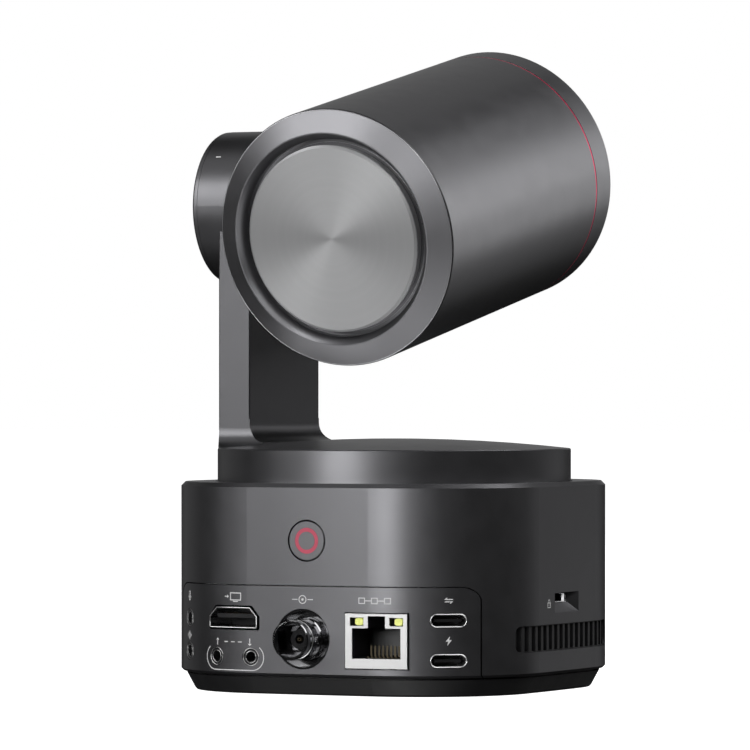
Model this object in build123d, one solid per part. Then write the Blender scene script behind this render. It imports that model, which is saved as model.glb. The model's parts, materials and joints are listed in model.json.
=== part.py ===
"""A three-axis (pan, tilt, roll) camera: a rounded-square base with its ports, a turntable with one arm,
and a round camera barrel held on the arm's hub. Millimetres, +Z up. The origin is on the pan axis, at the
mouth of the tripod thread. The lens looks towards -Y, the ports are on +Y and the arm is on +X.

Sub-parts of the barrel are drawn about their own axis, with z forward along the barrel, x along the tilt
axis and y up, and are put in place by BARREL. Sub-parts of the hub are drawn with z along the tilt axis,
and are put in place by HUB. Sub-parts on the back wall are drawn with z outward, x to the right and y up,
seen from outside, and are put in place by on_wall().
"""

from build123d import *
from math import asin, cos, hypot, radians, sin, sqrt
import os

# ---------------------------------------------------------------- driving dimensions
# Base: a rounded square with slightly bowed sides.
BASE_HALF = 47.3
BASE_SIDE_R = 570.0
BASE_CORNER_R = 31.7
BASE_BOTTOM = 4.7
BASE_TOP = 51.0
BASE_WALL = 2.4
BASE_TOP_CHAMFER = 1.0
BASE_LOW_CHAMFER = 0.6
TURNTABLE_HOLE_R = 44.0

# Bottom cover: it tapers in to the ground, and a spigot holds it in the housing.
FOOT_BOTTOM = 0.1
FOOT_TOP = 4.2
FOOT_TOP_INSET = 1.45
FOOT_LOW_INSET = 3.4
FOOT_EDGE = 0.5
FOOT_FLOOR = 2.4
SPIGOT_INSET = 2.7
SPIGOT_WALL = 2.2
SPIGOT_HEIGHT = 1.6
RUBBER_FOOT_R = 6.0
RUBBER_FOOT_AT = 27.0
RUBBER_FOOT_HIGH = 1.35
BUSH_R, BUSH_HIGH = 6.0, 9.6
BUSH_FLANGE_R, BUSH_FLANGE = 13.0, 2.35
THREAD_MINOR_R, THREAD_DEPTH = 2.55, 8.0

# Interface panel in the back wall, and what is on it.
PANEL_HALF = 40.4
PANEL_TOP = 26.4
PANEL_CORNER_R = 3.5
PANEL_GAP = 0.18
HDMI_X, HDMI_Z = 20.4, 18.5
HDMI_HALF, HDMI_HIGH, HDMI_DEPTH = 7.15, 2.55, 11.0
HDMI_SHOULDER_X, HDMI_SHOULDER_Y = 2.1, 0.35
HDMI_GAP = 0.42
SDI_X, SDI_Z = 1.1, 13.7
SDI_RECESS_R, SDI_CUP_R, SDI_CUP_BORE_R = 7.3, 7.2, 6.75
SDI_ROOT_R, SDI_BODY_R, SDI_COLLAR_R, SDI_BORE_R = 5.2, 4.6, 4.825, 4.15
SDI_TIP, SDI_COLLAR = 6.5, 1.4
LAN_X, LAN_Z = -18.4, 13.5
LAN_SIZE = (15.8, 13.1)
LAN_GAP = 0.28
LAN_DEPTH, LAN_SKIN = 20.5, 0.35
LAN_CAVITY, LAN_CAVITY_AT = (12.4, 7.3), (0.05, -0.55)
LAN_NOTCH, LAN_NOTCH_AT = (4.4, 3.1), (0.1, 4.45)
LAN_LAMP_POCKET = (3.5, 2.0)
LAN_LAMPS = ((-4.95, 4.65), (5.15, 4.65))
LAN_CONTACT_PITCH, LAN_CONTACT_HALF = 1.02, 0.2
USB_X, USB_LOW_Z, USB_PITCH = -34.6, 8.9, 9.6
USB_SIZE, USB_SKIN, USB_DEPTH = (8.94, 3.3), 0.31, 8.0
SERIAL_X, SERIAL_Z, SERIAL_PITCH = 15.3, 9.1, 10.1
AUDIO_X, AUDIO_LOW_Z, AUDIO_PITCH = 36.0, 9.95, 8.05
JACK_R, JACK_BORE_R, JACK_DEPTH = 2.2, 1.35, 8.0
PORT_BOARD = 1.5

# Power button.
BUTTON_Z = 37.3
BUTTON_R = 4.85
BUTTON_HOLE_R = 5.05
BUTTON_CAP = 2.2
LIGHT_RING_R, LIGHT_RING_BORE_R, LIGHT_RING_DEPTH = 3.1, 2.2, 0.78

# Side vents and lock slot.
VENT_HALF = 25.9
VENT_LOW, VENT_HIGH = 10.3, 16.75
VENT_CORNER_R = 1.9
VENT_RECESS = 0.55
VENT_PITCH = 3.0
VENT_SLOT = 1.85
VENT_FRAME = 0.25
LOCK_Y, LOCK_HIGH, LOCK_LOW = 0.85, 24.3, 19.3
LOCK_WIDTH, LOCK_DEPTH = 14.3, 1.7
LOCK_FLOOR = (7.4, 2.5)

# Inside the base: chassis plate on four legs, boards, heat sink and fan.
CHASSIS_LOW, CHASSIS_HIGH = 26.0, 28.0
CHASSIS_BOSS_R, CHASSIS_BOSS_HIGH = 13.5, 34.0
CHASSIS_WINDOW_R, CHASSIS_WINDOW_AT = 6.5, 27.0
LEGS = ((39.8, 3.0), (-39.8, 3.0), (0.0, -40.0), (0.0, 27.5))
LEG_FOOT = 6.4
LEG_R = 3.0
SCREW_R, SCREW_HEAD_R, SCREW_TIP = 1.0, 2.1, 11.0
BOARD_LOW, BOARD_HIGH, BOARD_INSET, BOARD_BACK_Y = 22.0, 23.6, 6.0, 28.0
SINK_X, SINK_Y, SINK_FLOOR = (2.0, 34.0), (-34.0, -8.0), 10.5
SINK_FINS, SINK_PITCH, SINK_FIN = 9, 3.1, 1.2
FAN_X, FAN_Y, FAN_LOW, FAN_HIGH, FAN_HALF = -21.0, -21.0, 9.0, 18.0, 15.0
FAN_BORE_R, FAN_HUB_R, FAN_BLADE_R, FAN_BLADES = 13.9, 6.5, 13.2, 11

# Pan axis.
SHAFT_R, SHAFT_BORE = 8.0, 5.5
SHAFT_LOW, SHAFT_FLANGE_LOW = 25.0, 43.3
BEARING_R, BEARING_LOW, BEARING_HIGH = 11.0, 28.5, 33.5
PAN_STATOR_R, PAN_STATOR_LOW, PAN_STATOR_HIGH = 21.6, 34.3, 42.5
PAN_RING_R, PAN_RING_BORE_R, PAN_RING_LOW, PAN_RING_HIGH = 25.4, 22.2, 33.6, 43.2
PAN_BELL = 1.8

# Turntable and arm.
TABLE_R = 43.6
TABLE_RIM = 59.0
TABLE_APEX = 61.4
TABLE_FLOOR = 47.0
TABLE_EDGE = 0.25
TABLE_WALL, TABLE_SKIN = 2.2, 2.4
ARM_INNER_X = 30.9
ARM_OUTER_R = 43.45
ARM_HALF = 17.9
ARM_FLARE = 4.8
ARM_EDGE = 0.25
CHANNEL_X, CHANNEL_WIDTH, CHANNEL_HALF = 34.1, 4.2, 9.0
CABLE, CABLE_HALF = 0.6, 7.0
HUB_R = 19.0
HUB_WALL = 2.2
HUB_SEAM_X = 45.2
HUB_END_X = 46.9
HUB_SEAM = 0.12
TILT_STATOR_LOW, TILT_STATOR_HIGH, TILT_CARRIER = 36.3, 40.2, 1.4

# Camera barrel.
TILT_Z = 118.85
TILT_UP = 11.55
HEAD_PAN = -1.4
BARREL_X = -7.1
BARREL_R = 31.4
BARREL_HALF = 44.25
BARREL_WALL = 2.0
RIDGE_R, RIDGE_PROUD = 25.9, 2.8
SLOPE_R, SLOPE_DEPTH = 24.2, 2.5
GROOVE_FLOOR, BEZEL_BORE_R = 1.4, 20.0
DISC_R, DISC_PROUD = 22.7, 2.2
RED_RING_BACK = 9.0
RED_RING_WIDTH = 0.45
NECK_R, NECK_BORE_R = 14.0, 4.5
HEAD_BOARD_X, HEAD_BOARD_Y, HEAD_BOARD_Z = 13.0, (24.4, 25.9), (-22.0, 8.0)

# Roll axis and lens module, with z along the barrel.
ROLL_BEARING = (12.0, 17.0)
ROLL_STATOR_R, ROLL_STATOR = 19.4, (-38.0, -28.0)
ROLL_RING_R, ROLL_RING_BORE_R, ROLL_RING = 23.5, 20.2, (-37.0, -26.0)
ROLL_SPINDLE_R, ROLL_SPINDLE = 5.0, (-37.0, -18.0)
LENS_TUBE_R, LENS_TUBE_BORE_R, LENS_TUBE = 24.0, 21.5, (-17.9, 38.0)
NOSE_R, NOSE_BORE_R = 17.6, 16.2
GLASS_LOW, GLASS_HIGH = 2.9, 1.9
ZOOM_R, ZOOM_Z = 12.0, (11.5, 19.0)
FOCUS_R, FOCUS_Z = 9.0, (-5.0, 1.0)
GUIDE_ROD_R, GUIDE_ROD_X, GUIDE_ROD_Z = 0.8, 17.4, (-15.85, 34.95)
CARRIER_WALL, CARRIER_EAR_X = 2.15, 19.6
SENSOR_BOARD_Z, SENSOR_Z = (-13.6, -12.2), -10.4

# Motors.
MOTOR_TEETH = 12

# Clearances.
SEAM = 0.05
RUN = 0.05
BEYOND = 60.0  # past the base's faces, for what is cut right through

# ---------------------------------------------------------------- frames
PAN = Location((0, 0, 0), (0, 0, HEAD_PAN))
TILT_RAD = radians(TILT_UP)
BARREL = PAN * Plane(
    origin=(BARREL_X, 0, TILT_Z),
    x_dir=(1, 0, 0),
    z_dir=(0, -cos(TILT_RAD), sin(TILT_RAD)),
).location
HUB = Plane(origin=(0, 0, TILT_Z), x_dir=(0, 1, 0), z_dir=(1, 0, 0)).location


def corner_centre(half, side_r, corner_r):
    """Distance from the axes of a corner arc's centre, for an arc tangent to both bowed sides."""
    to_side = side_r - half
    reach = side_r - corner_r
    return (sqrt(2 * reach**2 - to_side**2) - to_side) / 2


CORNER_AT = corner_centre(BASE_HALF, BASE_SIDE_R, BASE_CORNER_R)
TANGENT_X = CORNER_AT * BASE_SIDE_R / (BASE_SIDE_R - BASE_CORNER_R)


def wall_angle(x):
    """Angle of the back wall's outward normal from +Y, in radians, at the place x."""
    if abs(x) <= TANGENT_X:
        return asin(x / BASE_SIDE_R)
    return asin((abs(x) - CORNER_AT) / BASE_CORNER_R) * (1 if x > 0 else -1)


def on_wall(x, z):
    """Frame on the back wall's outer face: z outward, x to the right and y up, seen from outside."""
    angle = wall_angle(x)
    if abs(x) <= TANGENT_X:
        y = BASE_HALF - BASE_SIDE_R + BASE_SIDE_R * cos(angle)
    else:
        y = CORNER_AT + BASE_CORNER_R * cos(angle)
    return Plane(
        origin=(x, y, z),
        x_dir=(-cos(angle), sin(angle), 0),
        z_dir=(sin(angle), cos(angle), 0),
    ).location


# ---------------------------------------------------------------- shape helpers
def base_outline(inset=0.0):
    """The base's outline moved in by inset: four bowed sides joined by four tangent corner arcs."""
    half = BASE_HALF - inset
    side_r = BASE_SIDE_R - inset
    corner_r = BASE_CORNER_R - inset
    at = corner_centre(half, side_r, corner_r)
    along = at * side_r / (side_r - corner_r)
    across = half - side_r + sqrt(side_r**2 - along**2)
    diagonal = at + corner_r / sqrt(2)
    edges = []
    for turn in range(4):
        spin = Rot(0, 0, 90 * turn)
        side = RadiusArc((across, -along), (across, along), -side_r)
        corner = ThreePointArc((across, along), (diagonal, diagonal), (along, across))
        edges += [spin * side, spin * corner]
    return Face(Wire(edges))


def base_block(inset, low, high):
    """The base's outline moved in by inset, as a straight block."""
    return Pos(0, 0, low) * extrude(base_outline(inset), high - low, dir=(0, 0, 1))


def tapered_block(low_inset, low, high_inset, high):
    """The base's outline, tapering from one inset to another."""
    return Solid.make_loft(
        [
            (Pos(0, 0, low) * base_outline(low_inset)).outer_wire(),
            (Pos(0, 0, high) * base_outline(high_inset)).outer_wire(),
        ],
        True,
    )


def turned(*points):
    """Solid turned about z from a closed outline of (radius, z) points."""
    outline = Polyline(*[(r, 0, z) for r, z in points], close=True)
    return revolve(make_face(outline), Axis.Z, 360)


def tube(outer, inner, low, high):
    return turned((inner, low), (outer, low), (outer, high), (inner, high))


def rod(radius, low, high):
    return Pos(0, 0, (low + high) / 2) * Cylinder(radius, high - low)


def block(x0, x1, y0, y1, z0, z1):
    return Pos((x0 + x1) / 2, (y0 + y1) / 2, (z0 + z1) / 2) * Box(x1 - x0, y1 - y0, z1 - z0)


def prism(sketch, low, high):
    return Pos(0, 0, low) * extrude(sketch, high - low, dir=(0, 0, 1))


def spun(part, count):
    """Copies of a part, evenly turned about z."""
    return [Rot(0, 0, 360 / count * i) * part for i in range(count)]


def around(part, count, radius, phase=0.0):
    """Copies of a part, evenly spaced on a circle about z."""
    return spun(Rot(0, 0, phase) * Pos(radius, 0, 0) * part, count)


def corners(part, at):
    return [Pos(sx * at, sy * at, 0) * part for sx in (-1, 1) for sy in (-1, 1)]


def at_legs(part):
    return [Pos(x, y, 0) * part for x, y in LEGS]


def joined(parts):
    first, *rest = parts
    return first.fuse(*rest) if rest else first


def less(body, cuts):
    """A body with each of the cuts taken out of it."""
    for cut in cuts:
        body -= cut
    return body


def group(parts):
    """Separate solids of one node."""
    children = []
    for part in parts:
        solids = part.solids()
        children.append(Compound(solids) if len(solids) > 1 else solids[0])
    return Compound(children=children)


def stadium(width, height):
    return RectangleRounded(width, height, height / 2 - 0.001)


# ---------------------------------------------------------------- base: housing and covers
def base_shell():
    """The whole metal skin of the base, before the panel is parted from it."""
    low_edge = BASE_BOTTOM + BASE_LOW_CHAMFER
    high_edge = BASE_TOP - BASE_TOP_CHAMFER
    skin = joined([
        base_block(0, low_edge, high_edge),
        tapered_block(BASE_LOW_CHAMFER, BASE_BOTTOM, 0, low_edge),
        tapered_block(0, high_edge, BASE_TOP_CHAMFER, BASE_TOP),
    ])
    hollow = base_block(BASE_WALL, BASE_BOTTOM - 1, BASE_TOP - BASE_WALL)
    return skin - hollow - rod(TURNTABLE_HOLE_R, BASE_TOP - 2 * BASE_WALL, BEYOND)


SHELL = base_shell()


def panel_prism(grow):
    """The panel's outline, extruded through the back wall. It runs out at the base's lower edge."""
    half = PANEL_HALF + grow
    plate = block(-half, half, BASE_HALF / 2, BEYOND, 0, PANEL_TOP + grow)
    upper = plate.edges().filter_by(Axis.Y).sort_by(Axis.Z)[-2:]
    return fillet(upper, PANEL_CORNER_R + grow)


def vent_band(shrink, corner_r):
    """Rounded band through both side walls, where the vents are."""
    half = VENT_HALF - shrink
    band = block(-BEYOND, BEYOND, -half, half, VENT_LOW + shrink, VENT_HIGH - shrink)
    return fillet(band.edges().filter_by(Axis.X), corner_r)


def lock_recess():
    """Sloped recess of the lock slot, in the -X wall: open at the face, narrower at its floor."""
    face = Plane(origin=(-BASE_HALF - 0.1, LOCK_Y, 0), x_dir=(0, 1, 0), z_dir=(1, 0, 0))
    floor_z = LOCK_HIGH - 0.1 - LOCK_FLOOR[1] / 2
    outer = face * Pos(0, (LOCK_HIGH + LOCK_LOW) / 2) * Rectangle(LOCK_WIDTH, LOCK_HIGH - LOCK_LOW)
    inner = face.offset(LOCK_DEPTH) * Pos(0, floor_z) * Rectangle(*LOCK_FLOOR)
    pocket = Solid.make_loft([outer.wire(), inner.wire()], True)
    half = LOCK_FLOOR[0] / 2 - 0.1
    inside, low = -BASE_HALF + 2 * BASE_WALL, LOCK_HIGH - LOCK_FLOOR[1]
    slot = block(-BASE_HALF, inside, LOCK_Y - half, LOCK_Y + half, low, LOCK_HIGH - 0.2)
    return [pocket, slot]


def base_housing():
    button_hole = on_wall(0, BUTTON_Z) * rod(BUTTON_HOLE_R, -3 * BASE_WALL, BASE_WALL)
    cuts = [panel_prism(PANEL_GAP), vent_band(0, VENT_CORNER_R), *lock_recess(), button_hole]
    ledge_width, ledge_high = 2.6, 1.4
    ledge = base_block(BASE_WALL - 0.5, CHASSIS_HIGH, CHASSIS_HIGH + ledge_high)
    ledge -= base_block(BASE_WALL + ledge_width, CHASSIS_HIGH - 1, CHASSIS_HIGH + 2 * ledge_high)
    return joined([less(SHELL, cuts), ledge])


def port_openings():
    """Every hole through the interface panel."""
    deep, out, gap = -3 * BASE_WALL, BASE_WALL, 0.16
    jack = rod(JACK_R + SEAM, deep, out)
    network = Rectangle(LAN_SIZE[0] + 2 * LAN_GAP, LAN_SIZE[1] + 2 * LAN_GAP)
    cuts = [
        on_wall(HDMI_X, HDMI_Z) * prism(hdmi_outline(HDMI_GAP), deep, out),
        on_wall(SDI_X, SDI_Z) * rod(SDI_RECESS_R, deep, out),
        on_wall(LAN_X, LAN_Z) * prism(network, deep, out),
    ]
    usb = prism(stadium(USB_SIZE[0] + gap, USB_SIZE[1] + gap), deep, out)
    return cuts + usb_pair(usb) + serial_pair(jack) + audio_pair(jack)


def io_panel():
    return less(SHELL & panel_prism(-PANEL_GAP / 2), port_openings())


def bottom_cover():
    edge_high = FOOT_BOTTOM + FOOT_EDGE
    slant = tapered_block(FOOT_LOW_INSET, edge_high, FOOT_TOP_INSET, FOOT_TOP)
    edge = tapered_block(FOOT_LOW_INSET + FOOT_EDGE - SEAM, FOOT_BOTTOM, FOOT_LOW_INSET, edge_high)
    spigot = base_block(SPIGOT_INSET, FOOT_TOP, FOOT_TOP + SPIGOT_HEIGHT)
    hollow = base_block(SPIGOT_INSET + SPIGOT_WALL, FOOT_BOTTOM + FOOT_FLOOR, FOOT_TOP + 2 * SPIGOT_HEIGHT)
    boss_r, head_seat, screw_gap = 4.2, BUSH_FLANGE + SEAM, 0.4
    cover = joined([slant, edge, spigot]) - hollow
    cover = joined([cover, *at_legs(rod(boss_r, FOOT_BOTTOM + 1, LEG_FOOT))])
    feet = corners(rod(RUBBER_FOOT_R + SEAM, 0, RUBBER_FOOT_HIGH + SEAM), RUBBER_FOOT_AT)
    screw_hole = joined([rod(SCREW_R + screw_gap, 0, SCREW_TIP), rod(SCREW_HEAD_R + screw_gap, 0, head_seat)])
    bush = [rod(BUSH_FLANGE_R + SEAM, -1, head_seat), rod(BUSH_R + SEAM, -1, BUSH_HIGH)]
    return less(cover, [*feet, *at_legs(screw_hole), *bush])


def rubber_feet():
    bevel = 0.4
    pad = turned(
        (0, 0), (RUBBER_FOOT_R - bevel, 0), (RUBBER_FOOT_R, bevel), (RUBBER_FOOT_R, RUBBER_FOOT_HIGH),
        (0, RUBBER_FOOT_HIGH),
    )
    return group(corners(pad, RUBBER_FOOT_AT))


def tripod_bush():
    """Flanged steel bush with a blind 1/4 inch thread, and two holes for an anti-turn pin."""
    bevel, pin_r, pin_at, pin_depth = 0.4, 1.5, 9.5, 1.6
    body = turned(
        (0, 0), (BUSH_FLANGE_R - bevel, 0), (BUSH_FLANGE_R, bevel), (BUSH_FLANGE_R, BUSH_FLANGE),
        (BUSH_R, BUSH_FLANGE), (BUSH_R, BUSH_HIGH), (0, BUSH_HIGH),
    )
    pins = around(rod(pin_r, -1, pin_depth), 2, pin_at, 90)
    return less(body, [rod(THREAD_MINOR_R, -1, THREAD_DEPTH), *pins])


def bottom_screws():
    head_low, socket_r, socket_high = 1.5, 0.8, 2.0
    shank = rod(SCREW_R, socket_high, SCREW_TIP)
    head = rod(SCREW_HEAD_R, head_low, BUSH_FLANGE)
    screw = joined([head, shank]) - prism(RegularPolygon(socket_r, 6), head_low - 0.5, socket_high)
    return group(at_legs(screw))


def vent_grille(side):
    """Barred grille that lies recessed in one side wall."""
    skin = base_block(VENT_RECESS, VENT_LOW - 2, VENT_HIGH + 2)
    skin -= base_block(BASE_WALL - 2 * SEAM, 0, VENT_HIGH + 10)
    gap = 0.08
    outer_side = block(0, BEYOND, -BEYOND, BEYOND, 0, BEYOND)
    grille = skin & vent_band(gap, VENT_CORNER_R - gap) & outer_side
    count = int((VENT_HALF - 1.2) / VENT_PITCH)
    half = VENT_SLOT / 2
    slot = block(0, BEYOND, -half, half, VENT_LOW + VENT_FRAME, VENT_HIGH - VENT_FRAME)
    grille = less(grille, [Pos(0, i * VENT_PITCH, 0) * slot for i in range(-count, count + 1)])
    return grille if side > 0 else mirror(grille, Plane.YZ)


def lock_plate():
    """Steel plate behind the lock slot, with the slot's narrow opening."""
    x = -BASE_HALF + BASE_WALL + SEAM
    thick, half, below, above = 1.2, 7.0, 0.5, 1.5
    plate = block(x, x + thick, LOCK_Y - half, LOCK_Y + half, LOCK_LOW - below, LOCK_HIGH + above)
    opening = block(x - 1, x + 3, LOCK_Y - half / 2, LOCK_Y + 2.6, LOCK_HIGH - 2.45, LOCK_HIGH - 0.3)
    return plate - opening


# ---------------------------------------------------------------- ports
def hdmi_outline(grow=0.0):
    """The socket's six-sided outline: flat below, with two slanting shoulders."""
    half, high = HDMI_HALF + grow, HDMI_HIGH + grow
    slant = half - HDMI_SHOULDER_X
    shape = Polyline(
        (-half, -high), (half, -high), (half, HDMI_SHOULDER_Y), (slant, high), (-slant, high),
        (-half, HDMI_SHOULDER_Y), close=True,
    )
    face = make_face(shape)
    return fillet(face.vertices(), 0.5)


def hdmi_shell():
    skin, setback = 0.4, 0.25
    shell = prism(hdmi_outline(), -HDMI_DEPTH, -setback)
    return on_wall(HDMI_X, HDMI_Z) * (shell - prism(hdmi_outline(-skin), 0.6 - HDMI_DEPTH, 1))


def hdmi_tongue():
    root = prism(hdmi_outline(-0.45), 0.65 - HDMI_DEPTH, 2.4 - HDMI_DEPTH)
    blade = block(-5.6, 5.6, -0.1, 0.9, 2.0 - HDMI_DEPTH, -1.4)
    return on_wall(HDMI_X, HDMI_Z) * joined([root, blade])


SDI_CUP_FLOOR, SDI_CUP_BACK, SDI_FACE = -3.2, -3.8, -0.15


def sdi_cup():
    """Bright cup that lines the recess round the coaxial jack."""
    cup = turned(
        (SDI_CUP_BORE_R, SDI_CUP_FLOOR), (SDI_CUP_BORE_R, SDI_FACE), (SDI_CUP_R, SDI_FACE),
        (SDI_CUP_R, SDI_CUP_BACK), (SDI_ROOT_R + 0.1, SDI_CUP_BACK), (SDI_ROOT_R + 0.1, SDI_CUP_FLOOR),
    )
    return on_wall(SDI_X, SDI_Z) * cup


def sdi_jack():
    """Coaxial bayonet jack: a thick root, a body with two lugs, and a collar at its mouth."""
    back, bore_floor, inner_r, bevel = -12.0, -2.5, 3.6, 0.2
    collar_low = SDI_TIP - SDI_COLLAR
    body = turned(
        (inner_r, back), (SDI_ROOT_R, back), (SDI_ROOT_R, SDI_FACE - 0.25), (SDI_ROOT_R - 0.25, SDI_FACE),
        (SDI_BODY_R, SDI_FACE), (SDI_BODY_R, collar_low - bevel), (SDI_COLLAR_R, collar_low),
        (SDI_COLLAR_R, SDI_TIP - bevel), (SDI_COLLAR_R - bevel, SDI_TIP), (SDI_BORE_R, SDI_TIP),
        (SDI_BORE_R, bore_floor), (inner_r, bore_floor),
    )
    lug_r, lug_long, lug_out, lug_z = 0.95, 1.2, 5.1, 2.2
    lugs = [Pos(s * lug_out, 0, lug_z) * Rot(0, 90, 0) * Cylinder(lug_r, lug_long) for s in (-1, 1)]
    return on_wall(SDI_X, SDI_Z) * joined([body, *lugs])


def sdi_insulator():
    back, floor, mouth = -11.0, -2.6, 1.5
    outer_r, nose_r, bore_r, pin_r = 3.55, 2.4, 1.15, 0.75
    body = turned(
        (pin_r, back), (outer_r, back), (outer_r, floor), (nose_r, floor), (nose_r, mouth), (bore_r, mouth),
        (bore_r, -2.0), (pin_r, -2.0),
    )
    return on_wall(SDI_X, SDI_Z) * body


def sdi_contact():
    outer_r, bore_r, back, mouth = 0.7, 0.3, -14.0, 1.6
    pin = turned(
        (0, back), (outer_r, back), (outer_r, mouth - 0.4), (outer_r - 0.25, mouth), (bore_r, mouth),
        (bore_r, -1), (0, -1),
    )
    return on_wall(SDI_X, SDI_Z) * pin


def lan_window():
    """The network jack's stepped mouth: plug cavity and latch notch."""
    return Pos(*LAN_CAVITY_AT) * Rectangle(*LAN_CAVITY) + Pos(*LAN_NOTCH_AT) * Rectangle(*LAN_NOTCH)


def lan_lamp_pockets(deep):
    pocket = prism(Rectangle(*LAN_LAMP_POCKET), deep, 1)
    return [Pos(x, y, 0) * pocket for x, y in LAN_LAMPS]


def lan_box(skin, low, high):
    """The network jack's box, smaller all round by skin."""
    width, height = LAN_SIZE
    return prism(Rectangle(width - 2 * skin, height - 2 * skin), low, high)


def lan_shield():
    shell = lan_box(0, -LAN_DEPTH, -0.1) - lan_box(LAN_SKIN, 0.4 - LAN_DEPTH, -0.55)
    return on_wall(LAN_X, LAN_Z) * less(shell, [prism(lan_window(), -2, 1), *lan_lamp_pockets(-2)])


def lan_insert():
    core = lan_box(LAN_SKIN + 0.1, 0.5 - LAN_DEPTH, -0.65)
    cuts = [prism(lan_window(), 8 - LAN_DEPTH, 1), *lan_lamp_pockets(-2.6)]
    return on_wall(LAN_X, LAN_Z) * less(core, cuts)


def lan_contacts():
    """Eight bent wires: each lies on the cavity's floor and turns up to meet the plug."""
    half = LAN_CONTACT_HALF
    flat = block(-half, half, -4.15, -3.85, -12.3, -4.2)
    upright = block(-half, half, -3.85, -1.3, -6.5, -6.2)
    row = [Pos((i - 3.5) * LAN_CONTACT_PITCH, 0, 0) * joined([flat, upright]) for i in range(8)]
    return on_wall(LAN_X, LAN_Z) * group(row)


def lan_lamps():
    lamp = prism(RectangleRounded(2.0, 1.7, 0.6), -2.5, -0.75)
    return on_wall(LAN_X, LAN_Z) * group([Pos(x + 0.35, y, 0) * lamp for x, y in LAN_LAMPS])


def usb_pair(part):
    """The same piece in both USB-C sockets."""
    return [on_wall(USB_X, USB_LOW_Z + i * USB_PITCH) * part for i in range(2)]


def serial_pair(part):
    return [on_wall(SERIAL_X + i * SERIAL_PITCH, SERIAL_Z) * part for i in range(2)]


def audio_pair(part):
    return [on_wall(AUDIO_X, AUDIO_LOW_Z + i * AUDIO_PITCH) * part for i in range(2)]


def usb_outline(skin):
    return stadium(USB_SIZE[0] - 2 * skin, USB_SIZE[1] - 2 * skin)


def usb_shells():
    shell = prism(usb_outline(0), -USB_DEPTH, -0.05) - prism(usb_outline(USB_SKIN), 0.4 - USB_DEPTH, 1)
    return group(usb_pair(shell))


def usb_tongues():
    root = prism(usb_outline(USB_SKIN + 0.04), 0.45 - USB_DEPTH, 2 - USB_DEPTH)
    blade = block(-3.3, 3.3, -0.35, 0.35, 1.5 - USB_DEPTH, -1.2)
    return group(usb_pair(joined([root, blade])))


def jack():
    """Small round jack: a bored tube with a lip behind the panel."""
    body = tube(JACK_R, JACK_BORE_R, -JACK_DEPTH, -0.12)
    end = rod(JACK_R, -JACK_DEPTH - 1.5, -JACK_DEPTH)
    lip = tube(JACK_R + 0.6, JACK_BORE_R, -JACK_DEPTH, -BASE_WALL - 0.6)
    return joined([body, end, lip])


def serial_jacks():
    return group(serial_pair(jack()))


def audio_jacks():
    return group(audio_pair(jack()))


def port_boards():
    """Small boards behind the sockets, each parallel to its stretch of wall."""
    left = on_wall(HDMI_X, 13.0) * block(-7.6, 7.6, -6.4, 9.0, -11.1 - PORT_BOARD, -11.1)
    right = on_wall(USB_X, 13.7) * block(-3.6, 5.5, -7.2, 7.2, -8.1 - PORT_BOARD, -8.1)
    corner = on_wall(AUDIO_X, 14.0) * block(-3.2, 3.2, -7.0, 7.0, -9.7 - PORT_BOARD, -9.7)
    return group([left, right, corner])


# ---------------------------------------------------------------- power button
def power_button():
    edge, groove = 0.25, 0.02
    cap = turned(
        (0, -BUTTON_CAP), (BUTTON_R, -BUTTON_CAP), (BUTTON_R, -edge), (BUTTON_R - edge, 0), (0, 0)
    )
    cap -= tube(LIGHT_RING_R + groove, LIGHT_RING_BORE_R - groove, -LIGHT_RING_DEPTH - groove, 1)
    stem = rod(1.5, -4.2, -2.0)
    flange = tube(BUTTON_HOLE_R + 0.8, 1.4, -3.9, -3.1)
    return on_wall(0, BUTTON_Z) * joined([cap, stem, flange])


def button_light_ring():
    return on_wall(0, BUTTON_Z) * tube(LIGHT_RING_R, LIGHT_RING_BORE_R, -LIGHT_RING_DEPTH, 0)


def button_switch():
    """Push switch on its small board."""
    case = block(-3, 3, -3, 3, -9.3, -5.8)
    plunger = rod(1.6, -6.0, -5.0)
    board = block(-9, 9, -5, 5, -10.8, -9.2)
    return on_wall(0, BUTTON_Z) * joined([case, plunger, board])


# ---------------------------------------------------------------- inside the base
def main_board():
    front = block(-BEYOND, BEYOND, -BEYOND, BOARD_BACK_Y, 0, BEYOND)
    board = base_block(BOARD_INSET, BOARD_LOW, BOARD_HIGH) & front
    holes = [*at_legs(rod(LEG_R + 0.4, 0, CHASSIS_LOW)), rod(SHAFT_R + 2, 0, CHASSIS_LOW)]
    return less(board, holes)


def heat_sink():
    plate_low = BOARD_LOW - 2.6
    plate = block(*SINK_X, *SINK_Y, plate_low, BOARD_LOW - 0.1)
    fin = block(*SINK_X, SINK_Y[0], SINK_Y[0] + SINK_FIN, SINK_FLOOR, plate_low + 0.1)
    return joined([plate, *[Pos(0, i * SINK_PITCH, 0) * fin for i in range(SINK_FINS)]])


def fan_frame():
    floor = 1.6
    body = block(-FAN_HALF, FAN_HALF, -FAN_HALF, FAN_HALF, FAN_LOW, FAN_HIGH)
    well = rod(FAN_BORE_R, FAN_LOW + floor, BEYOND)
    outlet = block(-2 * FAN_HALF, 0, -6, 6, FAN_LOW + floor, FAN_HIGH - 1)
    body = less(body, [well, outlet, *around(rod(2.2, 0, BEYOND), 8, 10.0)])
    pin = rod(1.0, FAN_LOW, FAN_HIGH - 2.2)
    return Pos(FAN_X, FAN_Y, 0) * joined([body, pin])


def fan_rotor():
    low, high = FAN_LOW + 2.2, FAN_HIGH - 0.6
    hub = rod(FAN_HUB_R, low, high) - rod(1.0 + RUN, low - 1, high - 1.2)
    blade = Rot(0, 0, 24) * block(FAN_HUB_R - 0.7, FAN_BLADE_R, -0.35, 0.35, low + 0.4, high - 0.3)
    return Pos(FAN_X, FAN_Y, 0) * joined([hub, *spun(blade, FAN_BLADES)])


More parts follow.
